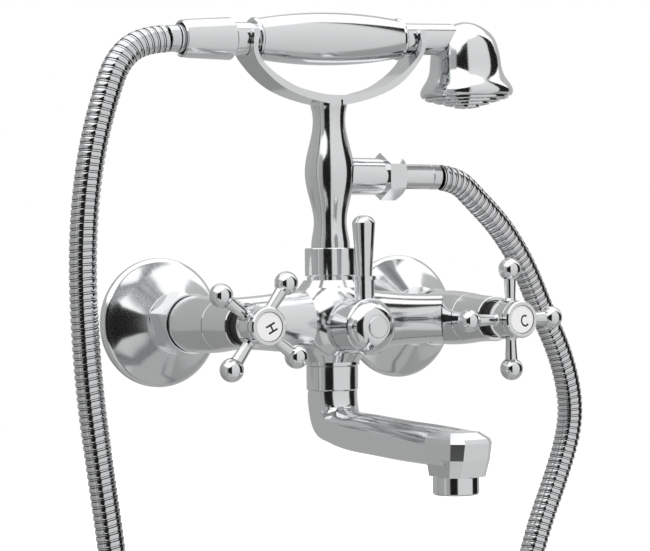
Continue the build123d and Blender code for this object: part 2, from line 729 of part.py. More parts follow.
def diverter():
    """Diverter in the drum: barrel, rotor, ring, knob, lever and the cap that holds the knob, by node name."""
    guide = diverter_stem_radius + running_gap
    ring_room = diverter_ring_radius + running_gap
    barrel_start = drum_bore_start + seat_gap
    barrel = sleeve(diverter_bore_radius, drum_bore_radius - fit_gap, barrel_start, diverter_guide_start)
    barrel += sleeve(guide, drum_bore_radius - fit_gap, diverter_guide_start, drum_end)
    barrel -= sleeve(guide - running_gap, guide + 2 * ring_room, diverter_ring_depth - ring_room,
                     diverter_ring_depth + ring_room)
    rotor_radius = diverter_bore_radius - running_gap
    rotor = turned(
        (0, barrel_start), (rotor_radius, barrel_start), (rotor_radius, diverter_guide_start - seat_gap),
        (diverter_stem_radius, diverter_guide_start - seat_gap), (diverter_stem_radius, diverter_stem_end),
        (0, diverter_stem_end),
    )
    port = Box(2 * rotor_radius, rotor_radius, diverter_guide_start - barrel_start - diverter_stem_radius)
    port_depth = barrel_start + (diverter_guide_start - barrel_start - diverter_stem_radius) / 2
    rotor -= Pos(0, rotor_radius / 2 + diverter_stem_radius / 2, port_depth) * port
    rotor -= rod(cap_shank_radius + running_gap, diverter_stem_end - cap_shank, diverter_stem_end + overrun)
    back = drum_end + seat_gap
    round_over = [(knob_radius * wide, knob_shoulder + (knob_front - knob_shoulder) * along)
                  for wide, along in knob_shares]
    knob = turned((0, back), (knob_radius, back), (knob_radius, knob_shoulder),
                  (knob_radius - knob_edge, knob_shoulder + knob_edge),
                  [*round_over, (knob_front_radius, knob_front)], (0, knob_front))
    knob += Pos(0, 0, lever_depth) * Rot(-90, 0, 0) * rod(lever_boss_radius, 0, lever_boss_top + diverter_drop)
    knob -= rod(diverter_stem_radius + running_gap, back - overrun, diverter_stem_end + fit_gap)
    knob -= rod(knob_recess_radius, knob_front - knob_recess, knob_front + overrun)
    knob -= rod(cap_shank_radius + running_gap, back, knob_front)
    stud_bottom = lever_boss_top + diverter_drop - lever_stud
    upright = Pos(0, 0, lever_depth) * Rot(-90, 0, 0)
    knob -= upright * rod(lever_stud_radius + running_gap, stud_bottom, lever_boss_top + diverter_drop + overrun)
    collar = lever_boss_top + diverter_drop
    rod_start = collar + lever_collar
    dome = lever_top + diverter_drop
    lever = turned(
        (0, stud_bottom + fit_gap), (lever_stud_radius, stud_bottom + fit_gap), (lever_stud_radius, collar),
        (lever_collar_radius, collar), (lever_collar_radius, rod_start), (lever_root_radius, rod_start),
        (lever_tip_radius, lever_rod_top + diverter_drop),
        [(lever_tip_radius * lever_dome_share,
          dome - (lever_top - lever_rod_top) * (1 - lever_dome_rise_share)), (0, dome)],
    )
    cap_back = knob_front - knob_recess
    cap_front = knob_front + cap_proud
    cap_radius = knob_recess_radius - running_gap
    rounding = cap_edge * cap_round_share
    cap = turned(
        (0, cap_back), (cap_radius, cap_back), (cap_radius, cap_front - cap_edge),
        [(cap_radius - rounding, cap_front - rounding), (cap_radius - cap_edge, cap_front)], (0, cap_front),
    )
    cap += rod(cap_shank_radius, diverter_stem_end - cap_shank + fit_gap, cap_back)
    nodes = {
        "diverter_barrel": barrel,
        "diverter_ring": o_ring(guide + diverter_ring_radius, diverter_ring_radius, diverter_ring_depth),
        "diverter_rotor": rotor,
        "diverter_knob": knob,
        "diverter_lever": upright * lever,
        "diverter_cap": cap,
    }
    return {name: from_wall(shape, 0, -diverter_drop) for name, shape in nodes.items()}


def ring_nut(radius, bottom, top, shoulder_at_top, neck_radius, thread_radius):
    """Round nut with a shoulder at one end and a thread at the other."""
    shoulder = top - nut_shoulder if shoulder_at_top else bottom + nut_shoulder
    nut = turned((0, bottom), (radius - nut_edge, bottom), (radius, bottom + nut_edge), (radius, top - nut_edge),
                 (radius - nut_edge, top), (0, top))
    thread = (bottom - overrun, shoulder) if shoulder_at_top else (shoulder, top + overrun)
    nut -= rod(thread_radius + fit_gap, *thread)
    return nut - rod(neck_radius, bottom - overrun, top + overrun)


def riser():
    """Riser nut, seal, column with its side outlet, check valve, cradle, by node name."""
    shoulder = riser_nut_top - nut_shoulder
    collar_bottom = core_thread_top + riser_seal
    curve = scaled_curve(riser_shares, riser_foot_radius, riser_nut_top, riser_top)
    column = turned(
        (0, collar_bottom), (riser_collar_radius, collar_bottom), (riser_collar_radius, shoulder),
        (riser_foot_radius, shoulder), (riser_foot_radius, riser_nut_top), curve, (0, riser_top),
    )
    column = on_riser(column)
    column += to_the_right(rod(outlet_radius, 0, outlet_end), outlet_height)
    column += to_the_right(rod(outlet_thread_radius, outlet_end, outlet_thread_end), outlet_height)
    column -= on_riser(rod(riser_bore_radius, collar_bottom - overrun, riser_bore_top))
    column -= to_the_right(rod(riser_bore_radius, 0, outlet_thread_end + overrun), outlet_height)
    column -= on_riser(rod(cradle_spigot_radius + fit_gap, riser_top - cradle_spigot - fit_gap,
                           riser_top + overrun))
    return {
        "riser_nut": on_riser(ring_nut(riser_nut_radius, riser_nut_bottom, riser_nut_top, True,
                                       riser_foot_radius + fit_gap, core_thread_radius)),
        "riser_seal": on_riser(sleeve(core_bore_radius, riser_collar_radius, core_thread_top, collar_bottom)),
        "riser_column": column,
        "check_valve": to_the_right(sleeve(check_valve_bore_radius, riser_bore_radius - running_gap,
                                           check_valve_start, check_valve_start + check_valve_length),
                                    outlet_height),
        "cradle": cradle(),
    }


def hoop_side(shares, half_span, drop):
    """Points of one edge of the hoop from the right ear to the middle, as X and Z from the handset's axis."""
    return [(half_span * wide, -drop * low) for wide, low in shares]


def hoop_edge(shares, half_span, bottom):
    """Closed half of the hoop's outline: the ear's straight face and the curve down to the middle."""
    right = [(half_span, 0), *hoop_side(shares, half_span, hoop_drop), (0, -bottom)]
    left = [(-x, z) for x, z in reversed(right[:-1])]
    return right + left


def cradle():
    """Hoop of flat bar, wider at its two ears, with a hook cut in each ear and a foot in the column."""
    outer_half = cradle_half_span + ear_thickness / 2
    inner_half = cradle_half_span - ear_thickness / 2
    outer = [(cradle_shift + x, 0, z) for x, z in hoop_edge(hoop_outer_shares, outer_half, hoop_drop)]
    inner = [(cradle_shift + x, 0, z) for x, z in
             hoop_edge(hoop_inner_shares, inner_half, hoop_drop * hoop_bottom_share)]
    top = hook_radius
    right_outer = (outer[0][0], 0, top)
    right_inner = (inner[0][0], 0, top)
    left_outer = (outer[-1][0], 0, top)
    left_inner = (inner[-1][0], 0, top)
    edges = [
        Line(right_outer, outer[0]), Spline(*outer), Line(outer[-1], left_outer), Line(left_outer, left_inner),
        Line(left_inner, inner[-1]), Spline(*reversed(inner)), Line(inner[0], right_inner),
        Line(right_inner, right_outer),
    ]
    strip = extrude(make_face(edges), ear_depth / 2, both=True, dir=(0, 1, 0))
    half_ear = ear_depth / 2
    half_hoop = hoop_depth / 2
    side = [
        (half_ear, ear_rise - cradle_edge), (half_ear, -ear_neck), (half_hoop, -ear_root),
        (half_hoop, -hoop_drop - overrun),
    ]
    corner = [(half_ear - cradle_edge, ear_rise)]
    half_side = corner + side
    profile = half_side + [(-y, z) for y, z in reversed(half_side)]
    window = make_face(Polyline(*[(0, y, z) for y, z in profile], close=True))
    strip &= extrude(window, 2 * cradle_half_span, both=True, dir=(1, 0, 0))
    slot = Rot(0, 90, 0) * Cylinder(hook_radius, 3 * cradle_half_span)
    slot += Pos(0, 0, hook_radius) * Box(3 * cradle_half_span, 2 * hook_radius, 2 * hook_radius)
    strip = in_handset_line(strip - slot)
    foot = rod(cradle_foot_radius, riser_top, cradle_foot_top)
    foot += rod(cradle_spigot_radius, riser_top - cradle_spigot, riser_top)
    return strip + on_riser(foot)


def spout_section(station):
    """One cross-section of the spout: flat sides with a low crown below and a high crown on top."""
    low_reach, low_drop, high_reach, high_drop, side_start, side_end, width = station
    low = Vector(0, -bar_standoff - spout_reach * low_reach, -spout_start() - spout_drop * low_drop)
    high = Vector(0, -bar_standoff - spout_reach * high_reach, -spout_start() - spout_drop * high_drop)
    half = Vector(spout_half_width * width, 0, 0)
    start = low + (high - low) * side_start
    end = low + (high - low) * side_end
    edges = [
        ThreePointArc(start - half, low, start + half), Line(start + half, end + half),
        ThreePointArc(end + half, high, end - half), Line(end - half, start - half),
    ]
    return make_face(edges)


def spout_start():
    """Drop of the spout's first section below the inlets, just under its nut."""
    return spout_nut_bottom + seat_gap


def tip_section(level):
    """One level of the block at the spout's tip: a rectangle with its front corners cut."""
    drop, width, back_share, front_share, cut_share = level
    half = spout_half_width * width
    back = -bar_standoff - spout_reach * back_share
    front = -bar_standoff - spout_reach * front_share
    cut = spout_half_width * cut_share
    height = -spout_start() - spout_drop * drop
    corners = [
        (half - cut / 2, back), (half, back - cut / 2), (half, front + cut), (half - cut, front),
        (cut - half, front), (-half, front + cut), (-half, back - cut / 2), (cut / 2 - half, back),
    ]
    return make_face(Polyline(*[(x, y, height) for x, y in corners], close=True))


def spout():
    """Swivel spout: tail and collar in the body, a crowned D-shaped run and a block at the tip."""
    neck_bottom = core_thread_bottom + seat_gap
    tail = turned(
        (0, -spout_start() - overrun), (spout_shank_radius, -spout_start() - overrun),
        (spout_shank_radius, -neck_bottom - spout_collar), (spout_collar_radius, -neck_bottom - spout_collar),
        (spout_collar_radius, -neck_bottom), (spout_tail_radius, -neck_bottom), (spout_tail_radius, -spout_tail_top),
        (0, -spout_tail_top),
    )
    for share in spout_orings:
        centre = -spout_tail_top - (neck_bottom - spout_tail_top) * share
        room = spout_oring_radius + running_gap
        tail -= sleeve(spout_tail_radius - 2 * room + running_gap, spout_tail_radius + overrun, centre - room,
                       centre + room)
    run = loft([spout_section(station) for station in spout_station_shares])
    for below, above in zip(tip_level_shares, tip_level_shares[1:]):
        run += loft([tip_section(below), tip_section(above)], ruled=True)
    body = on_riser(tail) + run
    outlet_y = -bar_standoff - spout_reach
    tip_bottom = spout_start() + spout_drop * tip_level_shares[0][0]
    way = FilletPolyline(
        (0, -bar_standoff, -spout_tail_top + overrun), (0, -bar_standoff, -spout_start() - spout_bore_drop),
        (0, outlet_y, -spout_start() - spout_bore_drop), (0, outlet_y, -tip_bottom), radius=spout_bore_bend,
    )
    body -= sweep(Plane(way @ 0, z_dir=way % 0) * Circle(spout_bore_radius), path=way)
    mouth = rod(aerator_thread_radius + fit_gap, -tip_bottom - overrun,
                -tip_bottom + aerator_thread + aerator_washer + aerator_top_gap)
    return body - Pos(0, outlet_y, 0) * mouth


def aerator():
    """Aerator in the tip: housing, insert with its holes, and washer, by node name."""
    top = -(spout_start() + spout_drop * tip_level_shares[0][0]) - aerator_top_gap
    bottom = top - aerator_length
    housing = turned(
        (0, bottom), (aerator_radius - aerator_edge, bottom), (aerator_radius, bottom + aerator_edge),
        (aerator_radius, top), (aerator_thread_radius, top), (aerator_thread_radius, top + aerator_thread),
        (0, top + aerator_thread),
    )
    insert_top = bottom + aerator_recess + aerator_insert
    housing -= rod(aerator_insert_radius - aerator_wall / 2, bottom - overrun, bottom + aerator_recess)
    housing -= rod(aerator_insert_radius + running_gap, bottom + aerator_recess, insert_top)
    housing -= rod(aerator_thread_radius - aerator_wall, bottom, top + aerator_thread + overrun)
    insert = rod(aerator_insert_radius, bottom + aerator_recess, insert_top)
    for share, count in aerator_hole_rings:
        for place in range(count):
            hole = rod(aerator_hole_radius, bottom, insert_top + overrun)
            insert -= Rot(0, 0, place * 360 / count) * Pos(share * aerator_insert_radius, 0, 0) * hole
    washer_bottom = top + aerator_thread
    washer = sleeve(aerator_washer_bore, aerator_thread_radius, washer_bottom, washer_bottom + aerator_washer)
    nodes = {"aerator_housing": housing, "aerator_insert": insert, "aerator_washer": washer}
    return {name: Pos(0, -bar_standoff - spout_reach, 0) * shape for name, shape in nodes.items()}


def spout_group():
    """Spout nut, slip ring, spout, its two rings and the aerator, by node name."""
    collar_bottom = core_thread_bottom + seat_gap + spout_collar
    shoulder = spout_nut_bottom - nut_shoulder
    nut = ring_nut(spout_nut_radius, -spout_nut_bottom, -core_neck_bottom - seat_gap, False,
                   spout_shank_radius + seat_gap, core_thread_radius)
    rings = []
    for share in spout_orings:
        centre = -spout_tail_top - (core_thread_bottom + seat_gap - spout_tail_top) * share
        middle = spout_tail_radius - spout_oring_radius + running_gap
        rings.append(on_riser(o_ring(middle, spout_oring_radius, centre)))
    slip = sleeve(spout_shank_radius + seat_gap, spout_collar_radius, -shoulder, -collar_bottom - fit_gap)
    return {
        "spout_nut": on_riser(nut),
        "spout_slip_ring": on_riser(slip),
        "spout": spout(),
        "spout_rings": Compound(rings),
        **aerator(),
    }


def cone_nut():
    """Tapered nut that joins the hose to the handset."""
    shoulder = cone_nut_start + cone_nut_shoulder
    edge = cone_nut_edge
    nut = turned(
        (0, cone_nut_start), (cone_nut_radius - edge, cone_nut_start), (cone_nut_radius, cone_nut_start + edge),
        (cone_nut_end_radius, cone_nut_end - edge), (cone_nut_end_radius - edge, cone_nut_end), (0, cone_nut_end),
    )
    nut -= rod(handset_tube_radius + fit_gap, shoulder, cone_nut_end + overrun)
    return nut - rod(upper_ferrule_radius + fit_gap, cone_nut_start - overrun, shoulder + overrun)


def grip():
    """Barrel-shaped grip sleeve."""
    middle = (grip_start + grip_end) / 2
    half = (grip_end - grip_start) / 2
    bow = grip_radius - grip_end_radius
    quarter = grip_radius - bow / 4
    bore = handset_tube_radius + grip_bore_gap
    return turned(
        (bore, grip_start), (grip_end_radius, grip_start),
        [(quarter, middle - half / 2), (grip_radius, middle), (quarter, middle + half / 2),
         (grip_end_radius, grip_end)],
        (bore, grip_end),
    )


def grip_ring_shape(start):
    """Thin rounded ring at one end of the grip."""
    bore = handset_tube_radius + grip_bore_gap
    edge = grip_ring / 3
    return turned(
        (bore, start), (grip_ring_radius - edge, start), (grip_ring_radius, start + edge),
        (grip_ring_radius, start + grip_ring - edge), (grip_ring_radius - edge, start + grip_ring),
        (bore, start + grip_ring),
    )


def shower_head():
    """Bell-shaped shell with a socket for the handset's tube, open below."""
    rim = head_top - head_depth
    curve = [(head_rim_radius * wide, head_top - head_depth * low) for wide, low in head_shares]
    wall = head_wall
    inner = [(max(radius - wall, 0), height - wall / 2) for radius, height in curve[2:-1]]
    shell = turned((0, head_top), curve, (head_rim_radius - 2 * wall, rim), list(reversed(inner)),
                   (0, head_top - 3 * wall))
    socket = Pos(-head_place, 0, 0) * Rot(0, 90, 0) * rod(
        handset_tube_radius + head_socket_wall, handset_tube_end - 2 * handset_tube_radius,
        handset_tube_end + head_socket_wall)
    bell = turned((0, head_top), curve, (0, rim))
    shell += socket & bell
    shell -= Pos(-head_place, 0, 0) * Rot(0, 90, 0) * rod(
        handset_tube_radius + fit_gap, 0, handset_tube_end + fit_gap)
    return shell - Pos(-head_place, 0, 0) * Rot(0, 90, 0) * rod(
        handset_bore_radius, 0, handset_tube_end + 2 * head_socket_wall)


def spray_plate():
    """Stepped spray plate with rings of small holes."""
    rim = head_top - head_depth
    top = rim + plate_inset
    corners = [(0, top), (plate_radius - head_wall, top)]
    level = top
    for place, share in enumerate(plate_step_shares):
        corners.append((plate_radius * share if place else plate_radius - head_wall, level))
        level = rim - plate_step * place
        corners.append((plate_radius * share if place else plate_radius - head_wall, level))
    corners.append((0, level))
    plate = turned(corners[0], *corners[2:])
    for share, count in spray_rings:
        for place in range(count):
            hole = rod(spray_hole_radius, level - overrun, top + overrun)
            plate -= Rot(0, 0, place * 360 / count) * Pos(share * plate_radius, 0, 0) * hole
    return plate


def handset():
    """Handset in its own line, by node name."""
    shoulder = cone_nut_start + cone_nut_shoulder
    collar_end = shoulder + ferrule_collar
    washer_end = handset_tube_start
    tube = sleeve(handset_bore_radius, handset_tube_radius, handset_tube_start, handset_tube_end)
    ferrule = turned(
        (ferrule_bore_radius, upper_ferrule_start), (upper_ferrule_radius, upper_ferrule_start),
        (upper_ferrule_radius, shoulder), (handset_tube_radius, shoulder), (handset_tube_radius, collar_end),
        (ferrule_bore_radius, collar_end),
    )
    along = {
        "cone_nut": cone_nut(),
        "upper_ferrule": ferrule,
        "handset_washer": sleeve(handset_bore_radius, handset_tube_radius, collar_end, washer_end),
        "handset_tube": tube,
        "handset_grip": grip(),
        "grip_rings": Compound([grip_ring_shape(grip_start - grip_ring), grip_ring_shape(grip_end)]),
    }
    nodes = {name: in_handset_line(Rot(0, 90, 0) * shape) for name, shape in along.items()}
    rim = head_top - head_depth
    gasket = sleeve(gasket_bore_radius, plate_radius - head_wall - fit_gap, rim + plate_inset,
                    rim + plate_inset + gasket_thickness)
    upright = {"shower_head": shower_head(), "spray_plate": spray_plate(), "spray_gasket": gasket}
    for name, shape in upright.items():
        nodes[name] = in_handset_line(Pos(head_place, 0, 0) * shape)
    return nodes


def hose_fittings():
    """Hexagon nut, washer and ferrule where the hose joins the outlet, by node name."""
    shoulder = hose_nut_end - hose_nut_shoulder
    corner_radius = hose_nut_across / 2 / cos(pi / 6)
    nut_start = outlet_end
    nut = hexagon(hose_nut_across, nut_start, hose_nut_end)
    nut &= turned(
        (0, nut_start), (corner_radius - hose_nut_back_chamfer, nut_start),
        (corner_radius, nut_start + hose_nut_back_chamfer / 2), (corner_radius, hose_nut_end - hose_nut_chamfer),
        (hose_nut_front_radius, hose_nut_end), (0, hose_nut_end),
    )
    nut -= rod(outlet_thread_radius + fit_gap, nut_start - overrun, shoulder)
    nut -= rod(lower_ferrule_radius + fit_gap, nut_start, hose_nut_end + overrun)
    collar_start = outlet_thread_end + hose_washer
    ferrule = turned(
        (ferrule_bore_radius, collar_start), (ferrule_collar_radius, collar_start),
        (ferrule_collar_radius, shoulder), (lower_ferrule_radius, shoulder), (lower_ferrule_radius, lower_ferrule_end),
        (ferrule_bore_radius, lower_ferrule_end),
    )
    washer = sleeve(riser_bore_radius, ferrule_collar_radius, outlet_thread_end, collar_start)
    nodes = {"hose_nut": nut, "outlet_washer": washer, "lower_ferrule": ferrule}
    return {name: to_the_right(shape, outlet_height) for name, shape in nodes.items()}


def hose_path():
    """Centre line of the hose: straight runs joined by tangent arcs as large as the runs allow."""
    points = [Vector(x, -bar_standoff, z) for x, z in hose_route]
    radii = []
    for before, here, after in zip(points, points[1:], points[2:]):
        turn = (here - before).get_angle(after - here)
        shorter = min((here - before).length, (after - here).length)
        radii.append(bend_share * shorter * cos(radians(turn / 2)) / sin(radians(turn / 2)))
    print("hose radii", [round(radius) for radius in radii])
    return FilletPolyline(*points, radius=radii)


def shower_hose():
    """Ribbed metal hose with its bore, as a ruled run of circles along the centre line."""
    path = hose_path()
    length = path.length
    ribbed = length - 2 * hose_straight
    pitch = ribbed / hose_ribs
    rings = [(0, hose_valley_radius)]
    for rib in range(hose_ribs):
        start = hose_straight + rib * pitch
        rings += [
            (start + rib_start_share * pitch, hose_valley_radius), (start + rib_top_share * pitch, hose_radius),
            (start + rib_fall_share * pitch, hose_radius), (start + rib_end_share * pitch, hose_valley_radius),
        ]
    rings.append((length, hose_valley_radius))
    steady = Vector(0, 1, 0)
    outer = []
    inner = []
    for place, radius in rings:
        plane = Plane(path @ (place / length), x_dir=steady, z_dir=path % (place / length))
        outer.append((plane * Circle(radius)).face())
    bore = sweep(Plane(path @ 0, x_dir=steady, z_dir=path % 0) * Circle(hose_bore_radius), path=path)
    tube = loft(outer, ruled=True) - bore
    middle = (hose_radius + hose_valley_radius) / 2
    print("hose length", round(length, 1), "volume", round(tube.volume),
          "section times length", round(pi * (middle ** 2 - hose_bore_radius ** 2) * length))
    return tube


nodes = {
    **inlets(),
    **handle(-1, hot_turn, hot_grub_arm, "hot"),
    **handle(1, cold_turn, cold_grub_arm, "cold"),
    "mixer_body": mixer_body(),
    **diverter(),
    **riser(),
    **spout_group(),
    **handset(),
    **hose_fittings(),
    "shower_hose": shower_hose(),
}
os.makedirs("parts", exist_ok=True)
for name, shape in nodes.items():
    export_step(shape, f"parts/{name}.step")
print(len(nodes), "nodes written")
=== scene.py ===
"""Bath shower mixer: finishes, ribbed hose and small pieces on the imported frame, in a plain studio."""

import bisect
import json
import logging
import math
from collections.abc import Sequence
from dataclasses import dataclass, field
from enum import Enum

import bpy
from mathutils import Matrix, Vector


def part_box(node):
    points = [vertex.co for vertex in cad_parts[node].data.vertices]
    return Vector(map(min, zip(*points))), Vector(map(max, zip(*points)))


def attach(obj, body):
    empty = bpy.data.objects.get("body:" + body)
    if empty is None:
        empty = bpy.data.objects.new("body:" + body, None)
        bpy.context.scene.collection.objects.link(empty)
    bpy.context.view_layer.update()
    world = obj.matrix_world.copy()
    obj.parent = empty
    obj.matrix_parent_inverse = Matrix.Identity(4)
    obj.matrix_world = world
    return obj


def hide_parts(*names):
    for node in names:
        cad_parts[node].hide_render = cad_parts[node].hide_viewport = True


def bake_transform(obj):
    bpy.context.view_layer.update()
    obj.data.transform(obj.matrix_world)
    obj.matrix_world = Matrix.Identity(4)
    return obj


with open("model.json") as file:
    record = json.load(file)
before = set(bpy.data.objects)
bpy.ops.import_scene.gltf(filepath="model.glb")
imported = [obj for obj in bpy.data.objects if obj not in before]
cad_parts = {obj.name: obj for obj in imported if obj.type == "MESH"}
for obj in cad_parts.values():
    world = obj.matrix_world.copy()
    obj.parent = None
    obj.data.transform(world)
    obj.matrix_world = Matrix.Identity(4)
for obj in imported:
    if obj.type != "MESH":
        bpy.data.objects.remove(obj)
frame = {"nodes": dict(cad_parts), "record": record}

MM = 0.001
SHARP_ANGLE = math.radians(32)
FULL_TURN = 360.0
HALF_TURN = 180.0
RIGHT_ANGLE = 90.0
WHITE = (1, 1, 1, 1)
LOG = logging.getLogger("bath_shower_mixer")
Colour = tuple[float, float, float]
Pair = tuple[float, float]
Piece = bpy.types.Object
Socket = bpy.types.NodeSocket
Tree = bpy.types.NodeTree
Value = Socket | float | tuple | None


class Body(Enum):
    """Bodies of the frame that the pieces ride on."""

    FIXED = "body"
    HOT_HANDLE = "hot_handle"
    COLD_HANDLE = "cold_handle"
    DIVERTER = "diverter"
    HANDSET = "handset"


class Letter(Enum):
    """Letters on the index discs."""

    HOT = "H"
    COLD = "C"


class Edge(Enum):
    """Edges between which a stretch of the surroundings has its own brightness."""

    TOP = "top"
    LOW = "low"


# Shader nodes


class Nodes:
    """Short calls that add nodes to one tree."""

    def __init__(self, tree: Tree) -> None:
        """Keep the tree.

        Args:
            tree: The node tree that the nodes go into.
        """
        self.tree = tree

    def add(self, kind: str, *values: Value, output: int | str = 0, **settings: str | int) -> Socket:
        """Add a node.

        Args:
            kind: The node's type.
            *values: Its inputs in order, as sockets, numbers, tuples, or None to leave one alone.
            output: The place or the name of the output that is wanted.
            **settings: The node's own settings.

        Returns:
            The output socket.
        """
        node = self.tree.nodes.new(kind)
        for name, value in settings.items():
            setattr(node, name, value)
        for socket, value in zip(node.inputs, values):
            self.feed(socket, value)
        return node.outputs[output]

    def feed(self, socket: Socket, value: Value) -> None:
        """Set an input, or link it where the value is a socket.

        Args:
            socket: The input.
            value: What goes into it, or None to leave it alone.
        """
        if value is None:
            return
        if isinstance(value, Socket):
            self.tree.links.new(value, socket)
            return
        socket.default_value = value

    def math(self, operation: str, *values: Socket | float) -> Socket:
        """Add a Math node and return its result."""
        return self.add("ShaderNodeMath", *values, operation=operation)

    def mix(self, share: Socket, low: Socket | float, high: Socket | float) -> Socket:
        """Return low where share is 0 and high where it is 1."""
        return self.add("ShaderNodeMix", share, None, low, high)

    def curve(self, share: Socket, stops: list[Pair]) -> Socket:
        """Add a value that runs straight between stops.

        Args:
            share: The place along the stops, from 0 to 1.
            stops: Pairs of place and value, in order.

        Returns:
            The value.
        """
        node = self.tree.nodes.new("ShaderNodeValToRGB")
        self.feed(node.inputs[0], share)
        elements = node.color_ramp.elements
        while len(elements) < len(stops):
            elements.new(1.0)
        for element, (place, value) in zip(elements, stops):
            element.position = place
            element.color = (value, value, value, 1)
        return node.outputs[0]


# Camera and studio


@dataclass
class Photographer:
    """Camera at the photograph's viewpoint. Its place is in metres, and its frame in pixels."""

    place: tuple[float, float, float] = (-0.61148, -1.08573, 0.03184)
    right: tuple[float, float, float] = (0.86151, -0.50758, -0.01282)
    up: tuple[float, float, float] = (0.01438, -0.00084, 0.99990)
    focal_pixels: float = 2273.68
    frame_width: float = 650.0
    frame_height: float = 551.0
    sensor: float = 36.0
    nearest: float = 0.05
    furthest: float = 50.0

    def turn(self) -> Matrix:
        """Work out how the camera is turned.

        Returns:
            A turn with the camera's own right, up and back as its columns.
        """
        right = Vector(self.right).normalized()
        up = Vector(self.up).normalized()
        return Matrix((right, up, right.cross(up))).transposed()

    def aim(self, across: float, down: float) -> Vector:
        """Return the direction from the camera to a place in the photograph, in pixels from its top left."""
        spot = Vector((across - self.frame_width / 2, self.frame_height / 2 - down, -self.focal_pixels))
        return (self.turn() @ spot).normalized()

    def set_up(self) -> None:
        """Make the camera and hand it to the scene."""
        data = bpy.data.cameras.new("camera")
        data.sensor_width = self.sensor
        data.lens = self.sensor * self.focal_pixels / self.frame_width
        data.clip_start = self.nearest
        data.clip_end = self.furthest
        camera = bpy.data.objects.new("camera", data)
        bpy.context.scene.collection.objects.link(camera)
        camera.matrix_world = Matrix.Translation(self.place) @ self.turn().to_4x4()
        bpy.context.scene.camera = camera


@dataclass(frozen=True)
class Sector:
    """A stretch of the surroundings round the level.

    It has its own brightness between a low and a top edge, and another one below. Angles are in degrees, and
    the edges may slope towards the sector's end.
    """

    start: float
    light: float
    under: float
    top: float
    low: float
    top_end: float | None = None
    low_end: float | None = None


@dataclass(frozen=True)
class Lamp:
    """A soft square lamp that faces the origin. Angles are in degrees, size in metres, power in watts."""

    name: str
    bearing: float
    height: float
    power: float
    size: float


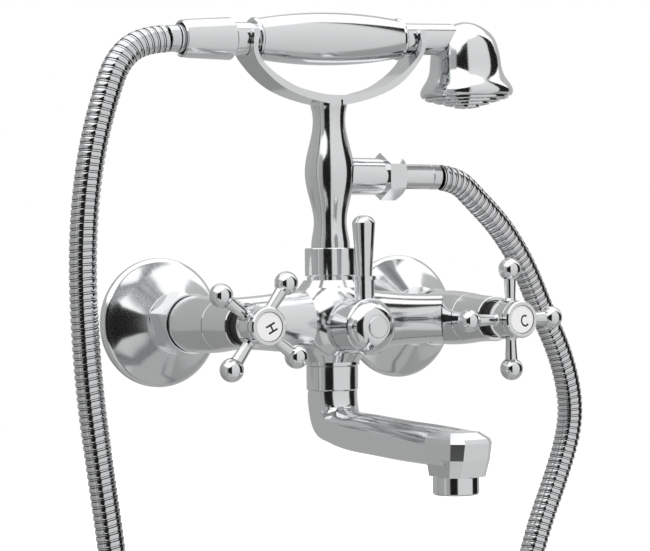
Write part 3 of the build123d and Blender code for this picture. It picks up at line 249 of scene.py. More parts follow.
@dataclass
class Studio:
    """Surroundings that the chrome mirrors, the lamps and the floor.

    The sectors' bearings run from the camera's side of the object, positive towards the camera's right.
    Angles are in degrees and distances in metres. Places between straight down and straight up are shares.
    """

    camera_bearing: float = -120.5
    edge: float = 2.0
    ceiling: float = 1.30
    ground: float = 0.46
    ground_height: float = -58.0
    backdrop: float = 1.0
    plain_light: float = 0.62
    foot_share: float = 0.2
    head_share: float = 0.8
    foot_light: float = 0.84
    head_light: float = 1.14
    floor_height: float = -0.56
    floor_radius: float = 6.0
    floor_sides: int = 96
    floor_colour: Colour = (0.80, 0.80, 0.80)
    floor_roughness: float = 0.9
    floor_glow: float = 0.85
    lamp_distance: float = 1.6
    soft_lamps: tuple[Lamp, ...] = (
        Lamp("key_lamp", -60.0, 55.0, 16.0, 0.9),
        Lamp("fill_lamp", -160.0, 25.0, 6.0, 1.2),
    )
    sectors: tuple[Sector, ...] = (
        Sector(-180.0, 0.58, 0.50, 45.0, -10.0),
        Sector(-166.0, 0.44, 0.34, 45.0, -12.0),
        Sector(-100.0, 0.42, 0.42, 30.0, -58.0),
        Sector(-62.0, 0.66, 0.66, 28.0, -58.0),
        Sector(-54.0, 0.42, 0.42, 26.0, -58.0),
        Sector(-33.0, 0.012, 0.70, 20.0, -20.0, 40.0, -40.0),
        Sector(6.0, 0.76, 0.70, 50.0, -52.0, 62.0, -52.0),
        Sector(86.0, 0.012, 0.42, 62.0, -22.0, 12.0, -12.0),
        Sector(128.0, 0.52, 0.50, 40.0, -58.0),
    )

    def across(self, values: list[Pair]) -> list[Pair]:
        """Turn values of the sectors into stops round the level.

        Args:
            values: A pair for each sector, of the values at its start and its end.

        Returns:
            Pairs of place, from 0 to 1 round the level, and value.
        """
        ends = [sector.start for sector in self.sectors[1:]] + [HALF_TURN]
        stops = []
        for sector, end, (first, last) in zip(self.sectors, ends, values):
            stops.append(((sector.start + self.edge / 2 + HALF_TURN) / FULL_TURN, first))
            stops.append(((end - self.edge / 2 + HALF_TURN) / FULL_TURN, last))
        return stops

    def height_share(self, angle: float) -> float:
        """Return an angle above the level as a share of the way from straight down to straight up."""
        return (angle + RIGHT_ANGLE) / HALF_TURN

    def edges(self, edge: Edge) -> list[Pair]:
        """Work out the stops of the sectors' top or low edge.

        Args:
            edge: Which edge.

        Returns:
            Pairs of place round the level and share of the way from straight down to straight up.
        """
        pairs = []
        for sector in self.sectors:
            first = getattr(sector, edge.value)
            last = getattr(sector, f"{edge.value}_end")
            pairs.append((self.height_share(first), self.height_share(first if last is None else last)))
        return self.across(pairs)

    def surroundings(self) -> None:
        """Make the world: a white backdrop to the camera, and the sectors to what mirrors them."""
        world = bpy.data.worlds.new("studio")
        bpy.context.scene.world = world
        world.use_nodes = True
        world.node_tree.nodes.clear()
        nodes = Nodes(world.node_tree)
        spot = nodes.add("ShaderNodeTexCoord")
        parts = nodes.add("ShaderNodeSeparateXYZ", spot).node
        bearing = nodes.math("ARCTAN2", parts.outputs["Y"], parts.outputs["X"])
        turned = nodes.math("SUBTRACT", bearing, math.radians(self.camera_bearing))
        whole = nodes.math("WRAP", turned, math.pi, -math.pi)
        round_share = nodes.math("MULTIPLY_ADD", whole, 1 / (2 * math.pi), 1 / 2)
        height = nodes.math("ARCSINE", parts.outputs["Z"])
        high_share = nodes.math("MULTIPLY_ADD", height, 1 / math.pi, 1 / 2)
        light = nodes.curve(round_share, self.across([(one.light, one.light) for one in self.sectors]))
        under = nodes.curve(round_share, self.across([(one.under, one.under) for one in self.sectors]))
        top = nodes.curve(round_share, self.edges(Edge.TOP))
        low = nodes.curve(round_share, self.edges(Edge.LOW))
        above_low = self.step(nodes, nodes.math("SUBTRACT", high_share, low))
        above_top = self.step(nodes, nodes.math("SUBTRACT", high_share, top))
        ground_share = self.height_share(self.ground_height)
        above_ground = self.step(nodes, nodes.math("SUBTRACT", high_share, ground_share))
        slope = nodes.add("ShaderNodeMapRange", high_share, self.foot_share, self.head_share, self.foot_light,
                          self.head_light)
        ring = nodes.math("MULTIPLY", nodes.mix(above_low, under, light), slope)
        grounded = nodes.mix(above_ground, self.ground, ring)
        covered = nodes.mix(above_top, grounded, self.ceiling)
        rays = nodes.add("ShaderNodeLightPath").node
        shown = nodes.math("ADD", rays.outputs["Is Glossy Ray"], rays.outputs["Is Transmission Ray"])
        mirrored = nodes.mix(shown, self.plain_light, covered)
        seen = nodes.mix(rays.outputs["Is Camera Ray"], mirrored, self.backdrop)
        glow = nodes.add("ShaderNodeBackground", WHITE, seen)
        out = world.node_tree.nodes.new("ShaderNodeOutputWorld")
        nodes.feed(out.inputs["Surface"], glow)

    def step(self, nodes: Nodes, rise: Socket) -> Socket:
        """Add a soft step.

        Args:
            nodes: The world's nodes.
            rise: A share of height that passes zero at the step.

        Returns:
            A value that goes from 0 to 1 there.
        """
        half = self.edge / HALF_TURN / 2
        return nodes.add("ShaderNodeMapRange", rise, -half, half, 0.0, 1.0, interpolation_type="SMOOTHSTEP")

    def lamps(self) -> None:
        """Hang the lamps that shade the enamel and throw the shadow. The chrome doesn't mirror them."""
        for one in self.soft_lamps:
            data = bpy.data.lights.new(one.name, "AREA")
            data.energy = one.power
            data.size = one.size
            lamp = bpy.data.objects.new(one.name, data)
            bpy.context.scene.collection.objects.link(lamp)
            bearing = math.radians(one.bearing)
            height = math.radians(one.height)
            towards = Vector((
                math.cos(height) * math.cos(bearing), math.cos(height) * math.sin(bearing), math.sin(height),
            ))
            lamp.location = towards * self.lamp_distance
            lamp.rotation_euler = towards.to_track_quat("Z", "Y").to_euler()
            lamp.visible_glossy = False

    def floor(self) -> None:
        """Lay a pale floor that goes white towards the camera and keeps the object's shadow."""
        bpy.ops.mesh.primitive_circle_add(vertices=self.floor_sides, radius=self.floor_radius,
                                          fill_type="NGON", location=(0, 0, self.floor_height))
        floor = bpy.context.object
        floor.name = "floor"
        material = bpy.data.materials.new("floor_paint")
        material.use_nodes = True
        nodes = Nodes(material.node_tree)
        paint = material.node_tree.nodes["Principled BSDF"]
        paint.inputs["Base Color"].default_value = (*self.floor_colour, 1)
        paint.inputs["Roughness"].default_value = self.floor_roughness
        paint.inputs["Specular IOR Level"].default_value = 0.0
        paint.inputs["Emission Color"].default_value = WHITE
        rays = nodes.add("ShaderNodeLightPath").node
        glow = nodes.mix(rays.outputs["Is Camera Ray"], 0.0, self.floor_glow)
        nodes.feed(paint.inputs["Emission Strength"], glow)
        floor.data.materials.append(material)
        floor.visible_glossy = False

    def set_up(self) -> None:
        """Build the whole studio."""
        self.surroundings()
        self.lamps()
        self.floor()
        bpy.context.scene.view_settings.view_transform = "Standard"


# Finishes

NOISE_DETAIL = 4.0
NOISE_ROUGHNESS = 0.6
NOISE_LOW = 0.3
NOISE_HIGH = 0.7
RIPPLE_DETAIL = 2.0
RIPPLE_ROUGHNESS = 0.5
WEAR_COARSENESS = 3
BEVEL_SAMPLES = 6
MIX_FIRST_COLOUR = 6
MIX_SECOND_COLOUR = 7
MIX_COLOUR = 2


def new_group(name: str, inputs: dict[str, str], output: str, kind: str) -> Tree:
    """Make a node group that has only its sockets.

    Args:
        name: The group's name.
        inputs: The kind of each input by its name.
        output: The name of the one output.
        kind: The kind of that output.

    Returns:
        The group.
    """
    group = bpy.data.node_groups.new(name, "ShaderNodeTree")
    for label, sort in inputs.items():
        group.interface.new_socket(label, in_out="INPUT", socket_type=f"NodeSocket{sort}")
    group.interface.new_socket(output, in_out="OUTPUT", socket_type=f"NodeSocket{kind}")
    return group


def variation_group() -> Tree:
    """Get the shared group that varies a value over the surface with soft noise, made once.

    Returns:
        The group.
    """
    found = bpy.data.node_groups.get("variation")
    if found:
        return found
    group = new_group("variation", {"Scale": "Float", "Low": "Float", "High": "Float"}, "Value", "Float")
    nodes = Nodes(group)
    given = group.nodes.new("NodeGroupInput").outputs
    place = nodes.add("ShaderNodeTexCoord", output="Object")
    noise = nodes.add("ShaderNodeTexNoise", place, None, given["Scale"], NOISE_DETAIL, NOISE_ROUGHNESS)
    spread = nodes.add("ShaderNodeMapRange", noise, NOISE_LOW, NOISE_HIGH, given["Low"], given["High"])
    out = group.nodes.new("NodeGroupOutput")
    nodes.feed(out.inputs["Value"], spread)
    return group


def ripple_group() -> Tree:
    """Get the shared group that tilts a normal with a slow ripple, made once.

    Returns:
        The group.
    """
    found = bpy.data.node_groups.get("ripple")
    if found:
        return found
    group = new_group("ripple", {"Scale": "Float", "Depth": "Float", "Normal": "Vector"}, "Normal", "Vector")
    nodes = Nodes(group)
    given = group.nodes.new("NodeGroupInput").outputs
    place = nodes.add("ShaderNodeTexCoord", output="Object")
    noise = nodes.add("ShaderNodeTexNoise", place, None, given["Scale"], RIPPLE_DETAIL, RIPPLE_ROUGHNESS)
    bump = group.nodes.new("ShaderNodeBump")
    bump.inputs["Strength"].default_value = 1.0
    nodes.feed(bump.inputs["Distance"], given["Depth"])
    nodes.feed(bump.inputs["Height"], noise)
    nodes.feed(bump.inputs["Normal"], given["Normal"])
    out = group.nodes.new("NodeGroupOutput")
    nodes.feed(out.inputs["Normal"], bump.outputs["Normal"])
    return group


@dataclass(frozen=True)
class Finish:
    """Finish of a surface. Lengths are in metres.

    Attributes:
        name: The name of its material.
        colour: Its colour.
        slot: The material slot that it belongs to.
        metallic: How metallic it is.
        roughness: Its middle roughness.
        rough_spread: How far the roughness goes up and down from there.
        grain: The fineness of that variation.
        ripple: The depth of a slow ripple.
        ripple_grain: The fineness of the ripple.
        edge: The radius that softens the look of hard edges.
        worn: A second colour, in patches.
    """

    name: str
    colour: Colour
    slot: str
    metallic: float = 0.0
    roughness: float = 0.4
    rough_spread: float = 0.08
    grain: float = 300.0
    ripple: float = 0.0
    ripple_grain: float = 60.0
    edge: float = 0.0
    worn: Colour | None = None

    def material(self) -> bpy.types.Material:
        """Get the finish's material, made once.

        Returns:
            The material.
        """
        found = bpy.data.materials.get(self.name)
        if found:
            return found
        material = bpy.data.materials.new(self.name)
        material.use_nodes = True
        nodes = Nodes(material.node_tree)
        shader = material.node_tree.nodes["Principled BSDF"]
        shader.inputs["Metallic"].default_value = self.metallic
        rough = self.group(nodes, variation_group(), self.grain, max(self.roughness - self.rough_spread, 0.0),
                           self.roughness + self.rough_spread)
        nodes.feed(shader.inputs["Roughness"], rough.outputs[0])
        if self.worn is None:
            shader.inputs["Base Color"].default_value = (*self.colour, 1)
        else:
            patches = self.group(nodes, variation_group(), self.grain / WEAR_COARSENESS, 0.0, 1.0)
            tint = nodes.tree.nodes.new("ShaderNodeMix")
            tint.data_type = "RGBA"
            nodes.feed(tint.inputs["Factor"], patches.outputs[0])
            tint.inputs[MIX_FIRST_COLOUR].default_value = (*self.colour, 1)
            tint.inputs[MIX_SECOND_COLOUR].default_value = (*self.worn, 1)
            nodes.feed(shader.inputs["Base Color"], tint.outputs[MIX_COLOUR])
        rounded = nodes.add("ShaderNodeBevel", self.edge, samples=BEVEL_SAMPLES) if self.edge else None
        if self.ripple:
            tilted = self.group(nodes, ripple_group(), self.ripple_grain, self.ripple)
            if rounded is None:
                rounded = nodes.add("ShaderNodeNewGeometry", output="Normal")
            nodes.feed(tilted.inputs["Normal"], rounded)
            rounded = tilted.outputs[0]
        nodes.feed(shader.inputs["Normal"], rounded)
        return material

    def group(self, nodes: Nodes, tree: Tree, *values: float) -> bpy.types.Node:
        """Add a shared group.

        Args:
            nodes: The material's nodes.
            tree: The group.
            *values: The values of its first inputs.

        Returns:
            The group's node.
        """
        node = nodes.tree.nodes.new("ShaderNodeGroup")
        node.node_tree = tree
        for socket, value in zip(node.inputs, values):
            socket.default_value = value
        return node


CHROME = Finish(
    "chrome", (0.86, 0.865, 0.87), "chrome",
    metallic=1.0, roughness=0.03, rough_spread=0.012, grain=180.0,
    ripple=0.000012, ripple_grain=45.0, edge=0.00035,
)
HOSE_METAL = Finish(
    "hose_metal", (0.88, 0.885, 0.89), "hose_metal",
    metallic=1.0, roughness=0.10, rough_spread=0.03, grain=400.0,
)
# Painted shade: a dark colour for the hose's valleys between its ribs and for the inner wall of the cone nut,
# where the metal lies in shade. Its patches only vary that shade.
HOSE_PAINTED_SHADE = Finish(
    "hose_painted_shade", (0.030, 0.030, 0.031), "hose_metal",
    roughness=0.55, rough_spread=0.08, grain=500.0, worn=(0.020, 0.020, 0.021),
)
BRASS = Finish(
    "brass", (0.60, 0.42, 0.17), "brass",
    metallic=1.0, roughness=0.28, rough_spread=0.08, grain=500.0, worn=(0.50, 0.33, 0.12),
)
CERAMIC = Finish(
    "ceramic", (0.80, 0.78, 0.72), "ceramic",
    roughness=0.22, rough_spread=0.05, grain=400.0, worn=(0.74, 0.72, 0.66),
)
RUBBER = Finish(
    "rubber", (0.020, 0.020, 0.021), "rubber",
    roughness=0.62, rough_spread=0.08, grain=600.0, worn=(0.032, 0.031, 0.030),
)
BLACK_PLASTIC = Finish(
    "black_plastic", (0.008, 0.008, 0.009), "black_plastic",
    roughness=0.45, rough_spread=0.06, grain=500.0, worn=(0.014, 0.014, 0.015),
)
GREY_PLASTIC = Finish(
    "grey_plastic", (0.20, 0.205, 0.21), "grey_plastic",
    roughness=0.42, rough_spread=0.06, grain=500.0, worn=(0.24, 0.245, 0.25),
)
ENAMEL = Finish(
    "index_enamel", (0.80, 0.80, 0.80), "index_enamel",
    roughness=0.30, rough_spread=0.05, grain=300.0, worn=(0.74, 0.74, 0.74),
)
# Ink of the printed letters, also used as painted shade for the line round each index disc.
INK_AND_GROOVE_SHADE = Finish(
    "index_ink_and_groove_shade", (0.010, 0.010, 0.011), "index_enamel",
    roughness=0.38, rough_spread=0.05, grain=500.0, worn=(0.016, 0.016, 0.017),
)
STEEL = Finish(
    "steel_screw", (0.10, 0.10, 0.105), "steel_screw",
    metallic=1.0, roughness=0.40, rough_spread=0.08, grain=700.0, worn=(0.06, 0.06, 0.06),
)
FINISHES = {
    finish.slot: finish
    for finish in (CHROME, HOSE_METAL, BRASS, CERAMIC, RUBBER, BLACK_PLASTIC, GREY_PLASTIC, ENAMEL, STEEL)
}


def dress(nodes: dict[str, Piece]) -> None:
    """Give each CAD node the finish of its material slot.

    Args:
        nodes: The frame's nodes by name.
    """
    slots = {entry["node"]: entry["material_slot"] for entry in frame["record"]["subparts"]}
    for name, thing in nodes.items():
        thing.data.materials.clear()
        thing.data.materials.append(FINISHES[slots[name]].material())


# Pieces


@dataclass
class Shape:
    """Points, in metres, and faces of a mesh that grows."""

    points: list[Vector] = field(default_factory=list)
    faces: list[tuple[int, ...]] = field(default_factory=list)

    def lathe(self, profile: Sequence[Pair], place: Matrix, sides: int) -> None:
        """Turn a closed profile into a ring.

        Args:
            profile: Pairs of distance along the axis and radius, in millimetres. The outside runs forwards.
            place: Where the axis, along X, goes.
            sides: The number of sides round the axis.
        """
        first = len(self.points)
        for along, radius in profile:
            for step in range(sides):
                angle = 2 * math.pi * step / sides
                spot = Vector((along, radius * math.cos(angle), radius * math.sin(angle))) * MM
                self.points.append(place @ spot)
        for ring in range(len(profile)):
            near = first + ring * sides
            far = first + (ring + 1) % len(profile) * sides
            for step in range(sides):
                after = (step + 1) % sides
                self.faces.append((near + step, near + after, far + after, far + step))

    def piece(self, name: str, finish: Finish, smooth: bool = True) -> Piece:
        """Make an object of the mesh.

        Args:
            name: The piece's name.
            finish: Its finish.
            smooth: Whether its faces are shaded smooth.

        Returns:
            The new object.
        """
        mesh = bpy.data.meshes.new(name)
        mesh.from_pydata([tuple(point) for point in self.points], [], self.faces)
        mesh.validate()
        mesh.materials.append(finish.material())
        if smooth:
            mesh.shade_smooth()
            mesh.set_sharp_from_angle(angle=SHARP_ANGLE)
        piece = bpy.data.objects.new(name, mesh)
        bpy.context.scene.collection.objects.link(piece)
        return piece


@dataclass
class Flanges:
    """The two wall flanges: thin cones, a little hollow, with a bevelled rim. Sizes are in millimetres."""

    inlet_reach: float = 75.0
    sides: int = 144
    profile: tuple[Pair, ...] = (
        (0.0, 34.2), (2.3, 34.2), (3.2, 33.8), (4.7, 32.0), (5.3, 31.0), (9.0, 26.7), (12.4, 22.85),
        (16.0, 18.95), (19.7, 15.2), (18.6, 14.6), (12.0, 21.7), (4.6, 29.8), (3.4, 31.2), (0.0, 33.0),
    )

    def build(self) -> Piece:
        """Turn both flanges about the inlets' axes.

        Returns:
            The two flanges as one piece.
        """
        shape = Shape()
        for side in (-1, 1):
            inlet = Matrix.Translation((side * self.inlet_reach * MM, 0, 0))
            shape.lathe(self.profile, inlet @ Matrix.Rotation(-math.pi / 2, 4, "Z"), self.sides)
        flanges = shape.piece("wall_flange_cones", CHROME)
        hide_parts("wall_flanges")
        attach(flanges, Body.FIXED.value)
        return flanges


@dataclass
class Handset:
    """Cone nut with its open mouth, and rounded spray plate with its nozzles. Sizes are in millimetres.

    The spray plate's steps are given by their radii, from the lowest up. Its round shares are pairs of share
    upwards and inwards of each step's rounding, and a row of nozzles has its radius, its step and its number.
    """

    axis_height: float = 148.6
    axis_setback: float = -53.8
    lean: float = 2.0
    sides: int = 72
    nut_profile: tuple[Pair, ...] = (
        (-87.4, 8.7), (-86.7, 9.5), (-83.0, 9.9), (-59.5, 11.0), (-58.5, 10.0), (-58.5, 8.6), (-75.4, 8.6),
        (-75.4, 7.3), (-81.0, 7.4), (-86.7, 7.9),
    )
    nut_shade_radius: float = 8.0
    head_place: float = 86.7
    plate_steps: tuple[float, ...] = (6.9, 12.4, 17.9, 22.8)
    plate_low: float = -37.4
    plate_rise: float = 1.48
    plate_round: float = 0.55
    plate_round_shares: tuple[Pair, ...] = ((0.0, 1.0), (0.15, 0.5), (0.5, 0.15), (1.0, 0.0))
    plate_groove: float = 0.30
    plate_core: float = 0.30
    plate_back: float = 21.0
    nozzle_rings: tuple[tuple[float, int, int], ...] = (
        (3.4, 0, 6), (9.6, 1, 12), (15.1, 2, 18), (20.4, 3, 26),
    )
    nozzle_profile: tuple[Pair, ...] = ((-0.25, 0.45), (-0.25, 0.8), (0.1, 1.0), (0.1, 0.45))
    nozzle_sides: int = 16

    def line(self) -> Matrix:
        """Return the place of the handset's own line, which runs along X."""
        start = Matrix.Translation((0, self.axis_setback * MM, self.axis_height * MM))
        return start @ Matrix.Rotation(math.radians(-self.lean), 4, "Y")

    def face(self) -> Matrix:
        """Return the place of the spray face's axis, which runs along X from below upwards."""
        head = self.line() @ Matrix.Translation((self.head_place * MM, 0, 0))
        return head @ Matrix.Rotation(-math.pi / 2, 4, "Y")

    def cone_nut(self) -> Piece:
        """Make the tapered nut with its open mouth, with painted shade on its inner wall.

        Returns:
            The nut.
        """
        shape = Shape()
        shape.lathe(self.nut_profile, self.line(), self.sides)
        nut = shape.piece("cone_nut_shell", CHROME)
        # Painted shade: the inner wall of the mouth gets the dark colour, where the chrome inside lies in
        # shade.
        nut.data.materials.append(HOSE_PAINTED_SHADE.material())
        dark = {place for place, (_, radius) in enumerate(self.nut_profile) if radius < self.nut_shade_radius}
        for face in nut.data.polygons:
            face.material_index = int(all(vertex // self.sides in dark for vertex in face.vertices))
        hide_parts("cone_nut")
        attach(nut, Body.HANDSET.value)
        return nut

    def plate_profile(self) -> list[Pair]:
        """Work out the spray plate's closed profile: rounded steps that grow upwards, a groove above each.

        Returns:
            Pairs of height and radius.
        """
        profile = [(self.plate_low, self.plate_core)]
        level = self.plate_low
        soft = self.plate_round
        for radius in self.plate_steps:
            profile += [(level + up * soft, radius - inner * soft) for up, inner in self.plate_round_shares]
            level += self.plate_rise
            profile += [(level - self.plate_groove, radius), (level, radius - self.plate_groove)]
        back = level + self.plate_rise
        profile += [(level, self.plate_back), (back, self.plate_back), (back, self.plate_core)]
        return profile

    def spray_plate(self) -> Piece:
        """Make the stepped spray plate.

        Returns:
            The plate.
        """
        shape = Shape()
        shape.lathe(self.plate_profile(), self.face(), self.sides)
        plate = shape.piece("spray_plate_steps", CHROME)
        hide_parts("spray_plate")
        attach(plate, Body.HANDSET.value)
        return plate

    def nozzles(self) -> Piece:
        """Make the nozzles in the spray plate.

        Returns:
            All the nozzles as one piece.
        """
        shape = Shape()
        for radius, place, count in self.nozzle_rings:
            level = self.plate_low + place * self.plate_rise
            for step in range(count):
                angle = 2 * math.pi * step / count
                spot = Vector((level, radius * math.cos(angle), radius * math.sin(angle))) * MM
                shape.lathe(self.nozzle_profile, self.face() @ Matrix.Translation(spot), self.nozzle_sides)
        nozzles = shape.piece("spray_nozzles", GREY_PLASTIC)
        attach(nozzles, Body.HANDSET.value)
        return nozzles

    def build(self) -> list[Piece]:
        """Make the handset's pieces and return them."""
        return [self.cone_nut(), self.spray_plate(), self.nozzles()]


@dataclass
class KnobScrew:
    """Dark end of the small screw that holds the diverter's knob.

    Its place is in pixels of the photograph, and its profile in millimetres.
    """

    seen_at: Pair = (371.5, 347.0)
    profile: tuple[Pair, ...] = (
        (-0.4, 1.5), (0.05, 1.45), (0.05, 0.75), (-0.3, 0.70), (-0.3, 0.02), (-0.4, 0.02),
    )
    sides: int = 48

    def build(self, camera: Photographer, knob: Piece) -> Piece:
        """Sink the screw's end into the knob's dome, square to it.

        Args:
            camera: The camera, which says where on the dome the screw is.
            knob: The diverter's knob.

        Returns:
            The screw's end.
        """
        hit, spot, normal, _ = knob.ray_cast(Vector(camera.place), camera.aim(*self.seen_at))
        if not hit:
            raise ValueError("the knob has no surface there")
        turn = normal.to_track_quat("X", "Z").to_matrix().to_4x4()
        shape = Shape()
        shape.lathe(self.profile, Matrix.Translation(spot) @ turn, self.sides)
        screw = shape.piece("knob_screw", STEEL)
        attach(screw, Body.DIVERTER.value)
        return screw


class Route:
    """Smooth line in an upright plane along X, with the distance reached at each of its points, in metres."""

    across = Vector((0, 1, 0))

    def __init__(self, points: list[Vector]) -> None:
        """Measure the line.

        Args:
            points: Its close points.
        """
        self.points = points
        self.reached = [0.0]
        for before, after in zip(points, points[1:]):
            self.reached.append(self.reached[-1] + (after - before).length)
        self.length = self.reached[-1]

    def spot(self, distance: float, radius: float, share: float) -> Vector:
        """Find a point of a tube round the line.

        Args:
            distance: How far along the line it is.
            radius: How far from the line it is.
            share: How far round the line it is, as a share of a turn.

        Returns:
            The point.
        """
        step = min(max(bisect.bisect_left(self.reached, distance), 1), len(self.points) - 1)
        before = self.points[step - 1]
        run = self.points[step] - before
        centre = before + run * ((distance - self.reached[step - 1]) / run.length)
        beyond = self.points[min(step + 1, len(self.points) - 1)]
        ahead = (beyond - self.points[max(step - 2, 0)]).normalized()
        angle = 2 * math.pi * share
        return centre + radius * (math.cos(angle) * self.across + math.sin(angle) * ahead.cross(self.across))


@dataclass
class Hose:
    """Ribbed metal hose on the smooth line of its route. Route and sizes are in millimetres.

    Its ribs are a broad band and a narrow strip that wind round it. Their shares are pairs of share of one
    turn along the hose and share of the way up from the valley between them.
    """

    plane: float = -53.8
    radius: float = 7.0
    valley: float = 6.15
    strip: float = 6.66
    pitch: float = 3.53
    collar: float = 5.4
    collar_radius: float = 6.75
    collar_edge: float = 0.25
    length: float = 1250.0
    sides: int = 26
    route_order: int = 3
    route_steps: int = 40
    band_shares: tuple[Pair, ...] = (
        (0.00, 0.0), (0.03, 0.90), (0.10, 0.985), (0.335, 1.0), (0.56, 0.985), (0.63, 0.90), (0.66, 0.0),
    )
    strip_shares: tuple[Pair, ...] = ((0.73, 0.90), (0.82, 1.0), (0.91, 0.90), (0.94, 0.0))
    route: tuple[Pair, ...] = (
        (-89.25, 145.48), (-107.0, 144.87), (-122.0, 134.5), (-129.5, 115.0), (-136.5, 91.0),
        (-141.0, 64.0), (-143.0, 35.0), (-142.5, 3.0), (-140.0, -34.0), (-134.5, -74.0), (-129.0, -112.0),
        (-123.5, -164.0), (-114.5, -226.0), (-101.0, -288.0), (-80.0, -348.0), (-45.0, -399.0),
        (-1.0, -421.0), (43.0, -407.0), (77.0, -366.0), (97.0, -311.0), (109.0, -252.0), (116.0, -196.0),
        (122.0, -150.0), (132.5, -118.0), (145.0, -91.0), (154.5, -66.0), (155.5, -46.0), (149.0, -22.0),
        (137.0, 1.0), (124.5, 28.0), (109.5, 49.0), (93.0, 64.0), (79.0, 76.4), (62.0, 76.4),
    )
    blend_start: float = -85.0
    blend_end: float = 60.0

    def line(self) -> list[Vector]:
        """Work out the route's smooth line.

        Returns:
            Its close points, in metres.
        """
        data = bpy.data.curves.new("hose_route", "CURVE")
        data.dimensions = "3D"
        data.resolution_u = self.route_steps
        spline = data.splines.new("NURBS")
        spline.points.add(len(self.route) - 1)
        for point, (x, z) in zip(spline.points, self.route):
            point.co = (x * MM, self.plane * MM, z * MM, 1)
        spline.order_u = self.route_order
        spline.use_endpoint_u = True
        guide = bpy.data.objects.new("hose_route", data)
        bpy.context.scene.collection.objects.link(guide)
        bpy.context.view_layer.update()
        mesh = bpy.data.meshes.new_from_object(guide)
        points = [vertex.co.copy() for vertex in mesh.vertices]
        bpy.data.objects.remove(guide)
        bpy.data.meshes.remove(mesh)
        return points

    def rib(self) -> list[Pair]:
        """Work out one turn of the ribs.

        Returns:
            Pairs of share of the turn and radius.
        """
        band = [(along, self.valley + up * (self.radius - self.valley)) for along, up in self.band_shares]
        strip = [(along, self.valley + up * (self.strip - self.valley)) for along, up in self.strip_shares]
        return band + strip

    def add_ribs(self, shape: Shape, route: Route, rings: list[Pair], pitch: float) -> None:
        """Wind the ribs round the line, open at both ends.

        Args:
            shape: The hose's mesh, which grows.
            route: The hose's line.
            rings: Pairs of distance along the line and radius, in metres.
            pitch: The length of one turn along the line, in metres.
        """
        for distance, radius in rings:
            for place in range(self.sides):
                share = place / self.sides
                shape.points.append(route.spot(distance + share * pitch, radius, share))
        turn = len(self.band_shares) + len(self.strip_shares)
        for ring in range(len(rings) - 1):
            for place in range(self.sides):
                after = (place + 1) % self.sides
                climb = turn if after == 0 else 0
                if ring + 1 + climb >= len(rings):
                    continue
                shape.faces.append((
                    ring * self.sides + place, (ring + climb) * self.sides + after,
                    (ring + 1 + climb) * self.sides + after, (ring + 1) * self.sides + place,
                ))

    def add_collar(self, shape: Shape, route: Route, start: float) -> None:
        """Add the plain sleeve that clamps one end of the ribs, closed at both ends.

        Args:
            shape: The hose's mesh, which grows.
            route: The hose's line.
            start: The distance along the line where the sleeve starts, in metres.
        """
        first = len(shape.points)
        outer = self.collar_radius * MM
        edge = self.collar_edge * MM
        inner = self.valley * MM
        rings = ((0.0, inner), (0.0, outer - edge), (edge, outer), (self.collar * MM - edge, outer),
                 (self.collar * MM, outer - edge), (self.collar * MM, inner))
        for along, radius in rings:
            shape.points += [
                route.spot(start + along, radius, place / self.sides) for place in range(self.sides)
            ]
        for ring in range(len(rings) - 1):
            low = first + ring * self.sides
            high = low + self.sides
            for place in range(self.sides):
                after = (place + 1) % self.sides
                shape.faces.append((low + place, low + after, high + after, high + place))
        last = first + (len(rings) - 1) * self.sides
        shape.faces.append(tuple(range(first + self.sides - 1, first - 1, -1)))
        shape.faces.append(tuple(range(last, last + self.sides)))

    def build(self) -> Piece:
        """Make the hose and hang it between the handset and the outlet.

        Returns:
            The hose.
        """
        route = Route(self.line())
        start = (self.collar - self.collar_edge) * MM
        turns = round((route.length - 2 * start) / (self.pitch * MM)) - 1
        pitch = (route.length - 2 * start) / (turns + 1)
        rings = []
        for turn in range(turns):
            rings += [(start + (turn + along) * pitch, radius * MM) for along, radius in self.rib()]
        shape = Shape()
        self.add_ribs(shape, route, rings, pitch)
        self.add_collar(shape, route, 0.0)
        self.add_collar(shape, route, route.length - self.collar * MM)
        hose = shape.piece("hose", HOSE_METAL)
        # Painted shade: faces in the valleys between the ribs get the dark colour, where shade falls between
        # the ribs.
        hose.data.materials.append(HOSE_PAINTED_SHADE.material())
        shade_radius = (self.valley + self.collar_edge) * MM
        shaded_rings = {place for place, (_, radius) in enumerate(rings) if radius < shade_radius}
        for face in hose.data.polygons:
            face.material_index = int(any(vertex // self.sides in shaded_rings for vertex in face.vertices))
        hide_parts("shower_hose")
        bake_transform(hose)
        return hose


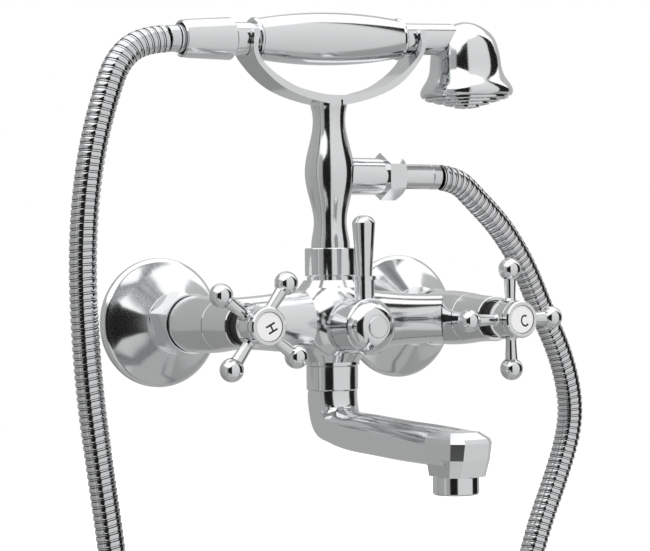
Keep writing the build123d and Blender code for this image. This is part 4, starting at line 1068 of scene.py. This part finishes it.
@dataclass
class Index:
    """Letter, and a dark line of painted shade round the index disc where it meets its ring, on one handle.
    Sizes are in millimetres, angles in degrees.

    Attributes:
        letter: The letter.
        body: The body that the disc rides on.
        disc: The disc's node.
        turn: How far the letter is turned on the disc, against the clock.
        shift: How far the letter's middle is to the right of the disc's and above it.
        tall: The letter's height.
        wide: The letter's width.
        stroke: The width of its strokes.
        proud: How far it stands out of the disc.
        bow_opening: The angle from the level to each end of the letter C's bow.
        bow_steps: The number of straight runs in the bow.
        bow_wide_share: How much wider the bow is than the letter's width over its height.
        bow_inner_share: How much narrower the inside of the bow is.
        line_radius: The radius of the line round the disc.
        line_width: The width of that line.
        sides: The number of its sides.
    """

    letter: Letter
    body: Body
    disc: str
    turn: float
    shift: Pair
    tall: float = 5.4
    wide: float = 3.4
    stroke: float = 0.95
    proud: float = 0.03
    bow_opening: float = 48.0
    bow_steps: int = 40
    bow_wide_share: float = 1.55
    bow_inner_share: float = 0.97
    line_radius: float = 7.30
    line_width: float = 0.34
    sides: int = 96

    def centre(self) -> Vector:
        """Find the middle of the disc's front.

        Returns:
            The point, in metres.
        """
        low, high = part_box(self.disc)
        low, high = Vector(low), Vector(high)
        return Vector(((low.x + high.x) / 2, low.y, (low.z + high.z) / 2))

    def bars(self) -> list[list[Pair]]:
        """Work out the letter H: two uprights with a bar between them.

        Returns:
            Their closed outlines in the letter's own upright frame.
        """
        half = self.stroke / 2
        high = self.tall / 2
        reach = self.wide / 2
        gap = reach - half
        outlines = []
        for side in (-1, 1):
            left = side * reach - half
            right = side * reach + half
            outlines.append([(left, -high), (right, -high), (right, high), (left, high)])
        outlines.append([(-gap, -half), (gap, -half), (gap, half), (-gap, half)])
        return outlines

    def bow(self) -> list[list[Pair]]:
        """Work out the letter C: one bow, open to the right.

        Returns:
            Its closed outline in the letter's own upright frame.
        """
        outer = self.tall / 2
        inner = outer - self.stroke
        sweep = FULL_TURN - 2 * self.bow_opening
        steps = self.bow_steps
        rim = [math.radians(self.bow_opening + sweep * step / steps) for step in range(steps + 1)]
        wide = self.wide / self.tall * self.bow_wide_share
        narrow = wide * self.bow_inner_share
        far = [(outer * math.cos(turn) * wide, outer * math.sin(turn)) for turn in rim]
        near = [(inner * math.cos(turn) * narrow, inner * math.sin(turn)) for turn in reversed(rim)]
        return [far + near]

    def write(self) -> list[Piece]:
        """Put the letter on the disc.

        Returns:
            A piece for each of its strokes.
        """
        centre = self.centre()
        turn = math.radians(self.turn)
        front = centre.y - self.proud * MM
        pieces = []
        for place, outline in enumerate(self.bars() if self.letter is Letter.HOT else self.bow()):
            shape = Shape()
            for across, up in outline:
                x = across * math.cos(turn) - up * math.sin(turn) + self.shift[0]
                z = across * math.sin(turn) + up * math.cos(turn) + self.shift[1]
                shape.points.append(Vector((centre.x + x * MM, front, centre.z + z * MM)))
            shape.points += [Vector((point.x, centre.y, point.z)) for point in shape.points]
            count = len(outline)
            for step in range(count // 2 - 1):
                shape.faces.append((step, step + 1, count - 2 - step, count - 1 - step))
            for step in range(count):
                after = (step + 1) % count
                shape.faces.append((step, step + count, after + count, after))
            piece = shape.piece(f"letter_{self.letter.value}_{place}", INK_AND_GROOVE_SHADE, smooth=False)
            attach(piece, self.body.value)
            pieces.append(piece)
        return pieces

    def groove_shade_line(self) -> Piece:
        """Draw the line round the disc: painted shade, a dark ring where the gap between the disc and its
        ring lies in shade.

        Returns:
            The line.
        """
        centre = self.centre()
        front = centre.y - self.proud * MM
        shape = Shape()
        for radius in (self.line_radius - self.line_width / 2, self.line_radius + self.line_width / 2):
            for step in range(self.sides):
                angle = 2 * math.pi * step / self.sides
                shape.points.append(Vector((
                    centre.x + radius * MM * math.cos(angle), front, centre.z + radius * MM * math.sin(angle),
                )))
        for step in range(self.sides):
            after = (step + 1) % self.sides
            shape.faces.append((step, step + self.sides, after + self.sides, after))
        line = shape.piece(f"groove_shade_line_{self.letter.value}", INK_AND_GROOVE_SHADE)
        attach(line, self.body.value)
        return line

    def build(self) -> list[Piece]:
        """Make the letter and the line round the disc, and return their pieces."""
        return [*self.write(), self.groove_shade_line()]


# Scene


def main() -> None:
    """Build the scene and report each piece."""
    logging.basicConfig(level=logging.INFO)
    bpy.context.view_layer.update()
    camera = Photographer()
    camera.set_up()
    pieces = [Hose().build()]
    Studio().set_up()
    dress(frame["nodes"])
    pieces.append(Flanges().build())
    pieces += Handset().build()
    pieces.append(KnobScrew().build(camera, frame["nodes"]["diverter_knob"]))
    hot = Index(Letter.HOT, Body.HOT_HANDLE, "hot_index_disc", turn=-63.5, shift=(1.35, -0.7))
    pieces += hot.build()
    cold = Index(Letter.COLD, Body.COLD_HANDLE, "cold_index_disc", turn=13.0, shift=(1.9, -0.7), tall=6.3)
    pieces += cold.build()
    for piece in pieces:
        LOG.info("%s: %d faces", piece.name, len(piece.data.polygons))


if __name__ == "__main__":
    main()
